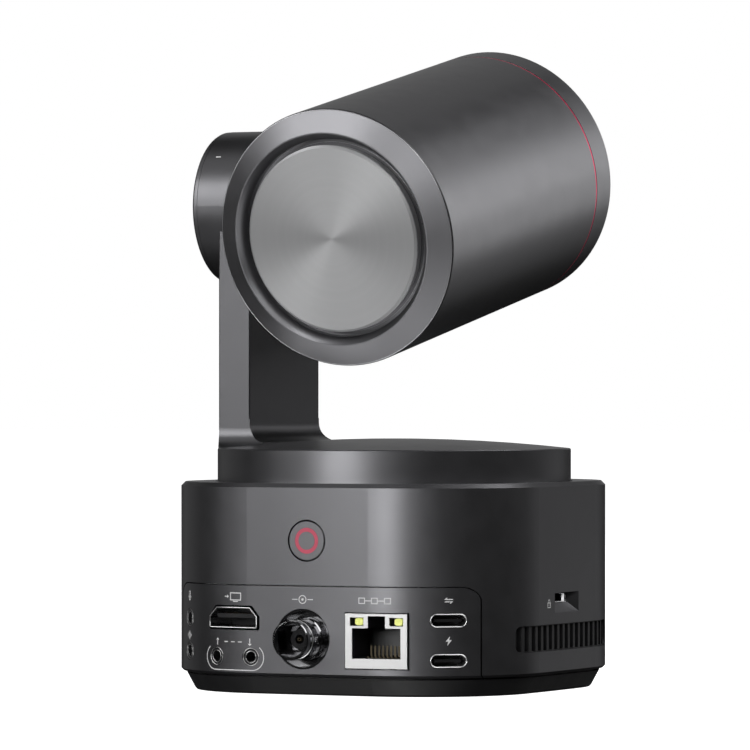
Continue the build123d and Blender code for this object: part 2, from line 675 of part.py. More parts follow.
def pan_chassis():
    """Plate under the housing's ledge, with the pan bearing's boss and the legs down to the cover."""
    front = block(-BEYOND, BEYOND, -BEYOND, 40, 0, BEYOND)
    plate = base_block(BASE_WALL + 0.1, CHASSIS_LOW, CHASSIS_HIGH) & front
    plate = joined([plate, rod(CHASSIS_BOSS_R, CHASSIS_LOW, CHASSIS_BOSS_HIGH)])
    plate = less(plate, around(rod(CHASSIS_WINDOW_R, 20, 40), 6, CHASSIS_WINDOW_AT, 30))
    plate = joined([plate, *at_legs(rod(LEG_R, LEG_FOOT, CHASSIS_LOW + 0.5))])
    screw_holes = at_legs(rod(SCREW_R + 0.03, 0, SCREW_TIP + 0.5))
    bore = [rod(BEARING_R, BEARING_LOW, BEYOND), rod(SHAFT_R + 1, 0, BEYOND)]
    return less(plate, screw_holes + bore)


def pan_bearing():
    """Ball bearing drawn as two rings and a cage."""
    outer_ring = tube(BEARING_R, BEARING_R - 1.1, BEARING_LOW, BEARING_HIGH)
    inner_ring = tube(SHAFT_R + 1, SHAFT_R + RUN, BEARING_LOW, BEARING_HIGH)
    cage = tube(BEARING_R - 1.1, SHAFT_R + 1, BEARING_LOW + 1.7, BEARING_HIGH - 1.7)
    return joined([outer_ring, inner_ring, cage])


def pan_stator():
    shoe_depth, shoe_half, tooth_half, bore_r = 1.4, 4.4, 1.6, 10.5
    low, high = PAN_STATOR_LOW, PAN_STATOR_HIGH
    shoe_r = PAN_STATOR_R - shoe_depth
    core = tube(14.0, bore_r, low, high)
    tooth = block(13.5, shoe_r + 0.3, -tooth_half, tooth_half, low + 0.5, high - 0.5)
    shoe = tube(PAN_STATOR_R, shoe_r, low, high) & block(10, 30, -shoe_half, shoe_half, 0, BEYOND)
    return joined([core, *spun(tooth, MOTOR_TEETH), *spun(shoe, MOTOR_TEETH)])


def pan_rotor():
    ring = tube(PAN_RING_R, PAN_RING_BORE_R, PAN_RING_LOW, PAN_RING_HIGH)
    bell = tube(PAN_RING_R, SHAFT_R + 2, PAN_RING_HIGH, PAN_RING_HIGH + PAN_BELL)
    return PAN * joined([ring, bell])


def pan_shaft():
    shaft = tube(SHAFT_R, SHAFT_BORE, SHAFT_LOW, TABLE_FLOOR)
    flange = tube(SHAFT_R + 2, SHAFT_BORE, SHAFT_FLANGE_LOW, TABLE_FLOOR)
    return PAN * joined([shaft, flange])


# ---------------------------------------------------------------- turntable and arm
def dome_height(radius):
    """Height of the turntable's shallow dome at a radius."""
    rise = TABLE_APEX - TABLE_RIM
    sphere_r = (TABLE_R**2 + rise**2) / (2 * rise)
    return TABLE_APEX - sphere_r + sqrt(sphere_r**2 - radius**2)


def turntable_cup():
    """Turntable skin: a wall and a shallow dome, hollow from below."""
    edge_r = TABLE_R - TABLE_EDGE
    rim = (edge_r, dome_height(edge_r))
    outside = Polyline((0, TABLE_FLOOR), (TABLE_R, TABLE_FLOOR), (TABLE_R, rim[1] - TABLE_EDGE), rim)
    dome = ThreePointArc(rim, (edge_r / 2, dome_height(edge_r / 2)), (0, TABLE_APEX))
    closing = Line((0, TABLE_APEX), (0, TABLE_FLOOR))
    solid = revolve(Plane.XZ * make_face([outside, dome, closing]), Axis.Z, 360)
    return solid - rod(TABLE_R - TABLE_WALL, TABLE_FLOOR - 1, TABLE_RIM - TABLE_SKIN)


def flare(edge, foot, side):
    """Concave quarter arc that runs out from an upright face at edge to the height foot."""
    lean = ARM_FLARE * (1 - sqrt(0.5))
    middle = (edge + side * lean, foot + lean)
    return ThreePointArc((edge, foot + ARM_FLARE), middle, (edge + side * ARM_FLARE, foot))


def arm_foot():
    """Lowest stretch of the arm, with a concave flare on the three sides that face the dome."""
    toe_x, toe_y = ARM_INNER_X - ARM_FLARE, ARM_HALF + ARM_FLARE
    arm_middle_x = (ARM_INNER_X + ARM_OUTER_R) / 2
    low, high = TABLE_RIM - 1.5, TABLE_APEX + ARM_FLARE
    foot_x = dome_height(toe_x) - 0.12
    foot_y = dome_height(hypot(arm_middle_x, toe_y)) + 0.1
    inner = Polyline(
        (toe_x, foot_x), (toe_x, low), (BEYOND, low), (BEYOND, high), (ARM_INNER_X, high),
        (ARM_INNER_X, foot_x + ARM_FLARE),
    )
    seen_from_back = Plane.XZ.offset(-BEYOND / 2) * make_face([inner, flare(ARM_INNER_X, foot_x, -1)])
    top = Polyline(
        (ARM_HALF, foot_y + ARM_FLARE), (ARM_HALF, high), (-ARM_HALF, high), (-ARM_HALF, foot_y + ARM_FLARE)
    )
    sole = Polyline((toe_y, foot_y), (toe_y, low), (-toe_y, low), (-toe_y, foot_y))
    flares = [flare(side * ARM_HALF, foot_y, side) for side in (1, -1)]
    seen_from_side = Plane.YZ * make_face([top, *flares, sole])
    return extrude(seen_from_back, BEYOND, dir=(0, -1, 0)) & extrude(seen_from_side, BEYOND, dir=(1, 0, 0))


def yoke_arm():
    """Turntable, arm and hub, cast in one piece, hollow for the motor and the cable."""
    round_off = rod(ARM_OUTER_R, 0, TILT_Z + HUB_R)
    column = block(ARM_INNER_X, BEYOND, -ARM_HALF, ARM_HALF, TABLE_APEX + ARM_FLARE, TILT_Z) & round_off
    column = chamfer(column.edges().filter_by(Axis.Z), ARM_EDGE)
    hub = HUB * rod(HUB_R, ARM_INNER_X, HUB_SEAM_X)
    body = joined([turntable_cup(), arm_foot() & round_off, column, hub])
    motor_room = HUB * rod(HUB_R - HUB_WALL, ARM_INNER_X + TABLE_SKIN, HUB_SEAM_X + 1)
    neck_hole = HUB * rod(NECK_R + RUN, 20, 40)
    channel = block(
        CHANNEL_X, CHANNEL_X + CHANNEL_WIDTH, -CHANNEL_HALF, CHANNEL_HALF, TABLE_FLOOR + 3, TILT_Z - HUB_R + 3
    )
    return PAN * less(body, [motor_room, neck_hole, channel])


def hub_cap():
    """Disc that closes the hub, with a spigot inside the hub's wall."""
    rim, low = HUB_R - SEAM, HUB_SEAM_X + HUB_SEAM
    cap = turned(
        (0, low), (rim, low), (rim, HUB_END_X - 0.75), (rim - 0.25, HUB_END_X - 0.3),
        (rim - 0.8, HUB_END_X), (0, HUB_END_X),
    )
    spigot = tube(HUB_R - HUB_WALL - 0.1, HUB_R - HUB_WALL - 1.4, HUB_SEAM_X - 2.5, HUB_SEAM_X + 0.2)
    return PAN * HUB * joined([cap, spigot])


def turntable_floor():
    plate = tube(TABLE_R - TABLE_WALL - 0.1, SHAFT_R + 2.1, TABLE_FLOOR + 0.02, TABLE_FLOOR + 2)
    slot_low, slot_high = CHANNEL_X - 0.4, CHANNEL_X + CHANNEL_WIDTH + 0.4
    return PAN * (plate - block(slot_low, slot_high, -CHANNEL_HALF - 1, CHANNEL_HALF + 1, 40, BEYOND))


def arm_cable():
    """Flat flexible cable in the arm's channel."""
    x = CHANNEL_X + CHANNEL_WIDTH / 2 - CABLE / 2
    return PAN * block(x, x + CABLE, -CABLE_HALF, CABLE_HALF, TABLE_FLOOR + 2.2, TILT_Z - HUB_R + 2.5)


def tilt_stator():
    bore_r, core_r, shoe_half = 9.4, 12.4, 2.6
    low, high = TILT_STATOR_LOW, TILT_STATOR_HIGH
    core = tube(core_r, bore_r, low, high)
    shoe = block(core_r - 0.2, core_r + 2.8, -shoe_half, shoe_half, low, high)
    carrier = tube(HUB_R - HUB_WALL - 0.2, bore_r, high, high + TILT_CARRIER)
    return PAN * HUB * joined([core, *spun(shoe, MOTOR_TEETH), carrier])


# ---------------------------------------------------------------- tilting barrel
BACK = -BARREL_HALF
FRONT = BARREL_HALF
RING_LOW = FRONT - RED_RING_BACK
RING_HIGH = RING_LOW + RED_RING_WIDTH
BARREL_BORE_R = BARREL_R - BARREL_WALL


def barrel_shell():
    edge = 0.25
    skin = turned(
        (BARREL_BORE_R, BACK + 0.3), (BARREL_R - edge, BACK + 0.12), (BARREL_R, BACK + 0.12 + edge),
        (BARREL_R, RING_LOW - SEAM), (BARREL_BORE_R, RING_LOW - SEAM),
    )
    return BARREL * (skin - Rot(0, 90, 0) * rod(NECK_BORE_R, 20, 40))


def rear_bezel():
    """Closing ring at the back: an outer cone, a ridge, and a steep slope down to a dark groove."""
    ridge = BACK - RIDGE_PROUD
    ridge_half = 0.15
    spigot_r, spigot_depth = BARREL_BORE_R - SEAM, BACK + 2.9
    profile = [
        (BARREL_R - 0.3, BACK + 0.02), (RIDGE_R + ridge_half, ridge), (RIDGE_R - ridge_half, ridge),
        (SLOPE_R, ridge + SLOPE_DEPTH), (SLOPE_R - SEAM, BACK + GROOVE_FLOOR),
        (BEZEL_BORE_R, BACK + GROOVE_FLOOR), (BEZEL_BORE_R, spigot_depth), (spigot_r, spigot_depth),
        (spigot_r, BACK + 0.2),
    ]
    return BARREL * turned(*profile)


def rear_disc():
    """Spun disc with a bevelled edge, on a smaller foot in the groove's floor."""
    face, foot_r = BACK - DISC_PROUD, DISC_R - 0.5
    disc = turned(
        (0, face), (DISC_R - 0.55, face), (DISC_R, face + 0.45), (DISC_R, face + 1.1), (foot_r, face + 1.6),
        (foot_r, BACK + GROOVE_FLOOR - SEAM), (0, BACK + GROOVE_FLOOR - SEAM),
    )
    return BARREL * disc


def red_ring():
    return BARREL * tube(BARREL_R - 0.06, BARREL_BORE_R + 0.3, RING_LOW, RING_HIGH)


def tilt_neck():
    """Hollow neck from the barrel's side into the hub, with a flange and the tilt motor's magnet drum."""
    face = ARM_INNER_X - BARREL_X
    flange_low, flange_high, flange_r = face + 2.9, face + 4.6, 16.2
    drum_low, drum_high, drum_r, stem_r = face + 5.5, face + 9.2, 8.9, 6.0
    start, end = BARREL_R - 5.4, face + 13.0
    neck = turned(
        (NECK_BORE_R, start), (NECK_R, start), (NECK_R, flange_low), (flange_r, flange_low),
        (flange_r, flange_high), (stem_r, flange_high), (stem_r, drum_low), (drum_r, drum_low),
        (drum_r, drum_high), (stem_r, drum_high), (stem_r, end), (NECK_BORE_R, end),
    )
    return BARREL * (Rot(0, 90, 0) * neck - rod(BARREL_R + 0.01, -30, 30))


def roll_bearing():
    """Thin ball bearing round the lens tube, drawn as two rings and a cage."""
    low, high = ROLL_BEARING
    outer_low_r, inner_high_r = BARREL_BORE_R - 2.4, BARREL_BORE_R - 3.2
    outer_ring = tube(BARREL_BORE_R - 0.2, outer_low_r, low, high)
    inner_ring = tube(inner_high_r, LENS_TUBE_R + 0.1, low, high)
    cage = tube(outer_low_r + 0.1, inner_high_r - 0.1, low + 1.5, high - 1.5)
    return BARREL * joined([outer_ring, inner_ring, cage])


def roll_stator():
    bore_r, core_r, shoe_half = 10.5, 15.0, 3.0
    low, high = ROLL_STATOR
    core = tube(core_r, bore_r, low, high)
    shoe = block(core_r - 0.5, ROLL_STATOR_R, -shoe_half, shoe_half, low, high)
    plate = tube(BARREL_BORE_R - 0.2, 6.0, low - 2.5, low)
    return BARREL * joined([core, *spun(shoe, MOTOR_TEETH), plate])


def roll_rotor():
    low, high = ROLL_RING
    ring = tube(ROLL_RING_R, ROLL_RING_BORE_R, low, high)
    bell = tube(ROLL_RING_R, ROLL_SPINDLE_R, high, high + 2)
    return BARREL * joined([ring, bell, rod(ROLL_SPINDLE_R, *ROLL_SPINDLE)])


def head_board():
    return BARREL * block(-HEAD_BOARD_X, HEAD_BOARD_X, *HEAD_BOARD_Y, *HEAD_BOARD_Z)


# ---------------------------------------------------------------- rolling lens module
WEB_HIGH = FRONT - 4.65


def front_bezel():
    """Front ring of the barrel: a narrow nose, a step for the glass and a seat for the lens housing."""
    low, step_r = RING_HIGH + 3 * SEAM, BARREL_BORE_R - 0.6
    seat_r = BARREL_BORE_R - 2.4
    profile = [
        (BARREL_BORE_R, low), (BARREL_R, low), (BARREL_R, FRONT - 0.7), (BARREL_R - 0.2, FRONT - 0.25),
        (BARREL_R - 0.7, FRONT), (BARREL_R - 1.3, FRONT), (BARREL_R - 2.4, FRONT - 1.6),
        (step_r, FRONT - 3.0), (seat_r, FRONT - 3.0), (seat_r, WEB_HIGH + SEAM),
        (BARREL_BORE_R, WEB_HIGH + SEAM),
    ]
    return BARREL * turned(*profile)


def lens_housing():
    """Tube that carries the optics, with a web out to the front bezel and a boss for the roll spindle."""
    low, high = LENS_TUBE
    bore = LENS_TUBE_BORE_R + 0.1
    walls = [
        tube(LENS_TUBE_R, LENS_TUBE_BORE_R, low, high),
        tube(bore, ROLL_SPINDLE_R, low, low + 2),
        tube(BARREL_BORE_R - SEAM, bore, WEB_HIGH - 1.75, WEB_HIGH),
        tube(NOSE_R, NOSE_BORE_R, 36.2, FRONT - 1.2),
        tube(bore, NOSE_BORE_R, high - 3, high - 1),
    ]
    return BARREL * joined(walls)


def front_glass():
    return BARREL * tube(BARREL_BORE_R - 0.75, NOSE_R + 0.1, FRONT - GLASS_LOW, FRONT - GLASS_HIGH)


def front_lens():
    """Domed front element."""
    edge_r, low, shoulder = NOSE_BORE_R - 0.3, FRONT - 6.05, FRONT - 4.05
    lens = turned(
        (0, low), (edge_r, low), (edge_r, shoulder), (15.0, FRONT - 3.65), (10.5, FRONT - 2.25),
        (5.5, FRONT - 1.45), (0, FRONT - 1.2),
    )
    return BARREL * lens


def zoom_lens():
    low = ZOOM_Z[0] + 1
    return BARREL * turned((0, low), (ZOOM_R, low), (ZOOM_R, low + 5), (0, low + 7))


def focus_lens():
    low = FOCUS_Z[0] + 1
    return BARREL * turned((0, low), (FOCUS_R, low), (FOCUS_R, low + 3), (0, low + 4.5))


def lens_carrier(lens_r, low, high, ear_half, ear_setback):
    """Ring round a lens group, with two ears that slide on the guide rods."""
    outer_r = lens_r + CARRIER_WALL
    ring = tube(outer_r, lens_r + SEAM, low, high)
    ear = block(outer_r - 0.4, CARRIER_EAR_X, -ear_half, ear_half, low + ear_setback, high - ear_setback)
    rod_hole = Pos(GUIDE_ROD_X, 0, 0) * rod(GUIDE_ROD_R + RUN, -BEYOND, BEYOND)
    return BARREL * less(joined([ring, *spun(ear, 2)]), spun(rod_hole, 2))


def zoom_carrier():
    return lens_carrier(ZOOM_R, *ZOOM_Z, 2.2, 0.75)


def focus_carrier():
    return lens_carrier(FOCUS_R, *FOCUS_Z, 2.0, 0.5)


def guide_rods():
    return BARREL * group(spun(Pos(GUIDE_ROD_X, 0, 0) * rod(GUIDE_ROD_R, *GUIDE_ROD_Z), 2))


def sensor_board():
    """Image sensor on its board."""
    low, high = SENSOR_BOARD_Z
    board = block(-13, 13, -10, 10, low, high)
    sensor = block(-7.5, 7.5, -5.5, 5.5, high - 0.2, SENSOR_Z)
    return BARREL * joined([board, sensor])


# ---------------------------------------------------------------- every node
NODES = {
    "base_housing": base_housing,
    "io_panel": io_panel,
    "bottom_cover": bottom_cover,
    "rubber_feet": rubber_feet,
    "tripod_bush": tripod_bush,
    "bottom_screws": bottom_screws,
    "vent_grille_left": lambda: vent_grille(1),
    "vent_grille_right": lambda: vent_grille(-1),
    "lock_plate": lock_plate,
    "hdmi_shell": hdmi_shell,
    "hdmi_tongue": hdmi_tongue,
    "sdi_cup": sdi_cup,
    "sdi_jack": sdi_jack,
    "sdi_insulator": sdi_insulator,
    "sdi_contact": sdi_contact,
    "lan_shield": lan_shield,
    "lan_insert": lan_insert,
    "lan_contacts": lan_contacts,
    "lan_lamps": lan_lamps,
    "usb_shells": usb_shells,
    "usb_tongues": usb_tongues,
    "serial_jacks": serial_jacks,
    "audio_jacks": audio_jacks,
    "port_boards": port_boards,
    "power_button": power_button,
    "button_light_ring": button_light_ring,
    "button_switch": button_switch,
    "main_board": main_board,
    "heat_sink": heat_sink,
    "fan_frame": fan_frame,
    "fan_rotor": fan_rotor,
    "pan_chassis": pan_chassis,
    "pan_bearing": pan_bearing,
    "pan_stator": pan_stator,
    "pan_rotor": pan_rotor,
    "pan_shaft": pan_shaft,
    "yoke_arm": yoke_arm,
    "hub_cap": hub_cap,
    "turntable_floor": turntable_floor,
    "arm_cable": arm_cable,
    "tilt_stator": tilt_stator,
    "barrel_shell": barrel_shell,
    "rear_bezel": rear_bezel,
    "rear_disc": rear_disc,
    "red_ring": red_ring,
    "tilt_neck": tilt_neck,
    "roll_bearing": roll_bearing,
    "roll_stator": roll_stator,
    "roll_rotor": roll_rotor,
    "head_board": head_board,
    "front_bezel": front_bezel,
    "lens_housing": lens_housing,
    "front_glass": front_glass,
    "front_lens": front_lens,
    "zoom_lens": zoom_lens,
    "zoom_carrier": zoom_carrier,
    "focus_lens": focus_lens,
    "focus_carrier": focus_carrier,
    "guide_rods": guide_rods,
    "sensor_board": sensor_board,
}

os.makedirs("parts", exist_ok=True)
for name, make in NODES.items():
    export_step(make(), f"parts/{name}.step")
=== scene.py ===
"""Looks of a pan, tilt and roll camera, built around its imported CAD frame. Metres, +Z up, ports on +Y."""

import json
from math import ceil, cos, pi, radians, sin, tan

import bpy
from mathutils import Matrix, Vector
from mathutils.bvhtree import BVHTree


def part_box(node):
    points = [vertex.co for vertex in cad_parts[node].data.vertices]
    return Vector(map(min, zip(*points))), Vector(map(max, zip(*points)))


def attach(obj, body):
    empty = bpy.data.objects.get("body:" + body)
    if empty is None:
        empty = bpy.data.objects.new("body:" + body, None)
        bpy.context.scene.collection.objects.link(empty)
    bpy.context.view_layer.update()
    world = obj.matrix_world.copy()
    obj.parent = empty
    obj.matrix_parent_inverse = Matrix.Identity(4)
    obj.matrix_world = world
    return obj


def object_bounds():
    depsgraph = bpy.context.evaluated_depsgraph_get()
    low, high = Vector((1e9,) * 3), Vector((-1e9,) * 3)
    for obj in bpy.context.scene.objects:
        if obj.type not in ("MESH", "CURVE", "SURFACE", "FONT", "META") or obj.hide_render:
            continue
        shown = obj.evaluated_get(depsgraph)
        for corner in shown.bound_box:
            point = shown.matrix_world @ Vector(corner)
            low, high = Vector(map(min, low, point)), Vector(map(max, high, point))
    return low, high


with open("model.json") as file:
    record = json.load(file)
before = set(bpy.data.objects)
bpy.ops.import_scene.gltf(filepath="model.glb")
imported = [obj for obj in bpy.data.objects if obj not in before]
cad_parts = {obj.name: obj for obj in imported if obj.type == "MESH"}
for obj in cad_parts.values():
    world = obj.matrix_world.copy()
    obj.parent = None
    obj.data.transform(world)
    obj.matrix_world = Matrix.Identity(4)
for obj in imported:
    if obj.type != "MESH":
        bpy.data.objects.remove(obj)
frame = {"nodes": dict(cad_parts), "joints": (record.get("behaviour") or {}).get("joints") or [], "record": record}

MM = 0.001
CAD_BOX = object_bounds()
NODES = frame["nodes"]
JOINTS = {joint["name"]: joint for joint in frame["joints"]}
UP = Vector((0, 0, 1))
ROLL_AT = Vector(JOINTS["roll"]["pos_m"])
ROLL_AXIS = Vector(JOINTS["roll"]["axis"])

# The view: level, from behind the object and to its -X side, with a long lens.
# Azimuth 0 is -Y and 90 is +X.
VIEW_AZIMUTH = 206.6
VIEW_DISTANCE = 1.474
EYE_HEIGHT = 0.07705
EYE_LEFT = 0.00476
LENS = 286.56
SENSOR = 36.0


def bearing(azimuth, elevation=0.0):
    """Unit vector from the object towards a place round it."""
    a, e = radians(azimuth), radians(elevation)
    return Vector((sin(a) * cos(e), -cos(a) * cos(e), sin(e)))


# ------------------------------------------------------------------------------------- shader nodes
def new_material(name):
    """An empty node material: its tree and its Principled shader."""
    material = bpy.data.materials.new(name)
    material.use_nodes = True
    tree = material.node_tree
    tree.nodes.clear()
    shader = tree.nodes.new("ShaderNodeBsdfPrincipled")
    output = tree.nodes.new("ShaderNodeOutputMaterial")
    tree.links.new(shader.outputs[0], output.inputs[0])
    return material, tree, shader


def add(tree, kind, sockets=(), **settings):
    """A node with its settings, and its sockets given as values or as other nodes' outputs."""
    node = tree.nodes.new("ShaderNode" + kind)
    for key, value in settings.items():
        setattr(node, key, value)
    for key, value in dict(sockets).items():
        if isinstance(value, bpy.types.NodeSocket):
            tree.links.new(value, node.inputs[key])
        else:
            node.inputs[key].default_value = value
    return node


def put(tree, shader, **sockets):
    """Sets the shader's sockets, by name with _ for a space, to values or to other nodes' outputs."""
    for key, value in sockets.items():
        socket = shader.inputs[key.replace("_", " ")]
        if isinstance(value, bpy.types.NodeSocket):
            tree.links.new(value, socket)
        else:
            socket.default_value = value


def place(tree):
    """Coordinates in the piece's own frame, which is the CAD frame at rest, in metres."""
    return add(tree, "TexCoord").outputs["Object"]


def stretched(tree, at, x=1.0, y=1.0, z=1.0):
    """Coordinates with each axis scaled, so that a pattern is long where its number is small."""
    return add(tree, "Mapping", {"Vector": at, "Scale": (x, y, z)}).outputs[0]


def noise(tree, at, size, detail=2.0):
    """Noise whose lumps are about size metres across, from 0 to 1."""
    return add(tree, "TexNoise", {"Vector": at, "Scale": 1 / size, "Detail": detail}).outputs[0]


def cells(tree, at, size):
    """Distance to the nearest of points about size metres apart."""
    return add(tree, "TexVoronoi", {"Vector": at, "Scale": 1 / size}).outputs["Distance"]


def between(tree, value, low, high, from_low=0.3, from_high=0.7):
    """A value mapped into a range, smoothly."""
    sockets = {"Value": value, "From Min": from_low, "From Max": from_high, "To Min": low, "To Max": high}
    return add(tree, "MapRange", sockets, interpolation_type="SMOOTHSTEP").outputs[0]


def mixed(tree, share, low, high):
    """Two colours mixed by a share from 0 to 1."""
    node = add(tree, "Mix", data_type="RGBA")
    tree.links.new(share, node.inputs["Factor"])
    for socket, colour in ((node.inputs[6], low), (node.inputs[7], high)):
        if isinstance(colour, bpy.types.NodeSocket):
            tree.links.new(colour, socket)
        else:
            socket.default_value = (*colour, 1)
    return node.outputs[2]


def relief(tree, height, depth):
    """A bump of a real depth in metres."""
    return add(tree, "Bump", {"Height": height, "Distance": depth}).outputs[0]


def shade(colour, share):
    """A colour made darker or lighter by a share."""
    return tuple(channel * share for channel in colour)


CLOUD = 14 * MM
PATCH = 5 * MM


def surface(name, colour, roughness, grain, depth, mottle, spread, **sockets):
    """A general surface, with a grain in relief whose size and depth are in millimetres.

    Its colour changes slowly by the share mottle either way, and its roughness by spread.
    """
    material, tree, shader = new_material(name)
    at = place(tree)
    cloud = noise(tree, at, CLOUD, 4.0)
    put(
        tree, shader,
        Base_Color=mixed(tree, cloud, shade(colour, 1 - mottle), shade(colour, 1 + mottle)),
        Roughness=between(tree, noise(tree, at, PATCH, 4.0), roughness - spread, roughness + spread),
        Normal=relief(tree, noise(tree, at, grain * MM, 3.0), depth * MM),
        **sockets,
    )
    return material, tree, shader


# ------------------------------------------------------------------------------------------- metals
def metal(name, colour, roughness, **texture):
    """A plain metal: the general surface, and nothing more."""
    return surface(name, colour, roughness, Metallic=1.0, **texture)[0]


def graphite_anodised():
    """Bead-blasted aluminium, dyed dark grey, with a very fine even grain."""
    return metal("graphite_anodised", (0.150, 0.1495, 0.1565), 0.38, grain=0.12, depth=0.0012, mottle=0.02,
                 spread=0.012)


QUARTER_TURN = 0.25


def spun_aluminium():
    """A disc finished on a lathe: its gloss is drawn across the fine grooves round the roll axis."""
    material, tree, shader = new_material("spun_aluminium")
    out = add(tree, "VectorMath", {0: place(tree), 1: tuple(ROLL_AT)}, operation="SUBTRACT").outputs[0]
    crossed = {0: tuple(ROLL_AXIS), 1: out}
    round_axis = add(tree, "VectorMath", crossed, operation="CROSS_PRODUCT").outputs[0]
    radius = add(tree, "VectorMath", {0: round_axis}, operation="LENGTH").outputs["Value"]
    world = add(tree, "VectorTransform", {0: round_axis}, vector_type="VECTOR", convert_from="OBJECT",
                convert_to="WORLD").outputs[0]
    tangent = add(tree, "VectorMath", {0: world}, operation="NORMALIZE").outputs[0]
    groove = noise(tree, add(tree, "CombineXYZ", {0: radius}).outputs[0], 0.11 * MM, 2.0)
    band = noise(tree, add(tree, "CombineXYZ", {1: radius}).outputs[0], 1.6 * MM, 3.0)
    put(
        tree, shader, Metallic=0.85, Anisotropic=0.60, Anisotropic_Rotation=QUARTER_TURN, Tangent=tangent,
        Base_Color=mixed(tree, band, (0.400, 0.402, 0.408), (0.440, 0.442, 0.448)),
        Roughness=between(tree, groove, 0.47, 0.53),
        Normal=relief(tree, groove, 0.0004 * MM),
    )
    return material


def plated_steel():
    """Zinc-plated steel with faint drawing lines."""
    material, tree, shader = surface("plated_steel", (0.56, 0.57, 0.59), 0.27, grain=0.2, depth=0.001,
                                     mottle=0.08, spread=0.05, Metallic=1.0)
    lines = noise(tree, stretched(tree, place(tree), 1, 1, 0.04), 0.15 * MM, 3.0)
    put(tree, shader, Normal=relief(tree, lines, 0.0015 * MM))
    return material


def tinned_shell(name, tone, roughness=0.33):
    """Stamped, tinned sheet of a connector's shell."""
    return metal(name, (tone, tone, tone), roughness, grain=0.25, depth=0.0012, mottle=0.04, spread=0.04)


def satin_edge():
    """The bare, blasted edge of the lock slot's plate, which scatters what light gets into the recess."""
    return surface("satin_edge", (0.78, 0.78, 0.79), 0.55, grain=0.10, depth=0.001, mottle=0.04, spread=0.05,
                   Metallic=0.3)[0]


def edge_highlight_metal():
    """Metal lighter than the housing, for the wires along turned edges: its lighter colour paints an edge
    highlight on them.
    """
    return metal("edge_highlight_metal", (0.34, 0.34, 0.35), 0.30, grain=0.1, depth=0.0008, mottle=0.05,
                 spread=0.03)


def black_nickel():
    """Bright nickel with a dark lacquer, on turned connector pieces, with faint turning lines."""
    material, tree, shader = surface("black_nickel", (0.36, 0.36, 0.37), 0.11, grain=0.3, depth=0.0003,
                                     mottle=0.04, spread=0.02, Metallic=1.0)
    turning = noise(tree, stretched(tree, place(tree), 0.05, 1, 0.05), 0.12 * MM, 2.0)
    put(tree, shader, Normal=relief(tree, turning, 0.0003 * MM))
    return material


def gold_plate():
    """Clean gold on contacts."""
    return metal("gold_plate", (0.50, 0.36, 0.16), 0.32, grain=0.1, depth=0.0006, mottle=0.05, spread=0.05)


def shaded_gold():
    """Gold darkened as painted shade, for contacts deep in a socket."""
    return metal("shaded_gold", (0.060, 0.050, 0.034), 0.42, grain=0.1, depth=0.0006, mottle=0.10, spread=0.06)


def nickel_plate():
    """The nickel skin of the magnets."""
    return metal("nickel_plate", (0.60, 0.59, 0.56), 0.22, grain=0.5, depth=0.003, mottle=0.05, spread=0.06)


def cast_alloy():
    """Die-cast aluminium with the orange-peel skin of the die."""
    material, tree, shader = surface("cast_alloy", (0.42, 0.43, 0.44), 0.48, grain=0.7, depth=0.02,
                                     mottle=0.10, spread=0.08, Metallic=1.0)
    flow = noise(tree, stretched(tree, place(tree), 1, 0.3, 1), 6 * MM, 5.0)
    put(tree, shader, Base_Color=mixed(tree, flow, (0.33, 0.335, 0.345), (0.50, 0.505, 0.515)))
    return material


def copper_winding():
    """Enamelled copper wire laid in turns, as fine ridges along the layers."""
    material, tree, shader = new_material("copper_winding")
    at = place(tree)
    turns = add(tree, "TexWave", {"Vector": at, "Scale": 1 / (1.2 * MM), "Distortion": 0.6, "Detail": 1.0},
                wave_type="BANDS", bands_direction="DIAGONAL").outputs["Fac"]
    tone = noise(tree, at, 3 * MM, 3.0)
    put(
        tree, shader, Metallic=1.0, Coat_Weight=0.4,
        Base_Color=mixed(tree, tone, (0.55, 0.20, 0.07), (0.80, 0.36, 0.15)),
        Roughness=between(tree, turns, 0.22, 0.38, 0.0, 1.0),
        Normal=relief(tree, turns, 0.08 * MM),
    )
    return material


# ---------------------------------------------------------------------------- plastics and the rest
def moulded_black(name="moulded_black", roughness=0.34, grain=0.30, depth=0.004, gloss=0.5):
    """Black moulded plastic with the spark texture of its tool."""
    return surface(name, (0.011, 0.011, 0.012), roughness, grain, depth, mottle=0.15, spread=0.05,
                   Specular_IOR_Level=gloss)[0]


def foot_black():
    """The dull black cover under the base."""
    return surface("foot_black", (0.006, 0.006, 0.0065), 0.50, grain=0.35, depth=0.008, mottle=0.12,
                   spread=0.04)[0]


def foot_rubber():
    """Matt rubber, with rings pressed into it."""
    material, tree, shader = surface("foot_rubber", (0.022, 0.022, 0.022), 0.78, grain=0.25, depth=0.012,
                                     mottle=0.15, spread=0.05)
    dots = cells(tree, place(tree), 1.1 * MM)
    put(tree, shader, Normal=relief(tree, between(tree, dots, 0, 1, 0.15, 0.55), 0.10 * MM))
    return material


def port_lamp():
    """A lit light pipe, its light uneven in soft patches."""
    material, tree, shader = new_material("port_lamp")
    at = place(tree)
    glow = noise(tree, at, 1.0 * MM, 2.0)
    colour = mixed(tree, glow, (0.50, 0.55, 0.06), (0.78, 0.80, 0.28))
    put(
        tree, shader, Base_Color=colour, Emission_Color=colour, Emission_Strength=0.35,
        Roughness=between(tree, glow, 0.22, 0.34),
        Normal=relief(tree, noise(tree, at, 0.3 * MM), 0.002 * MM),
    )
    return material


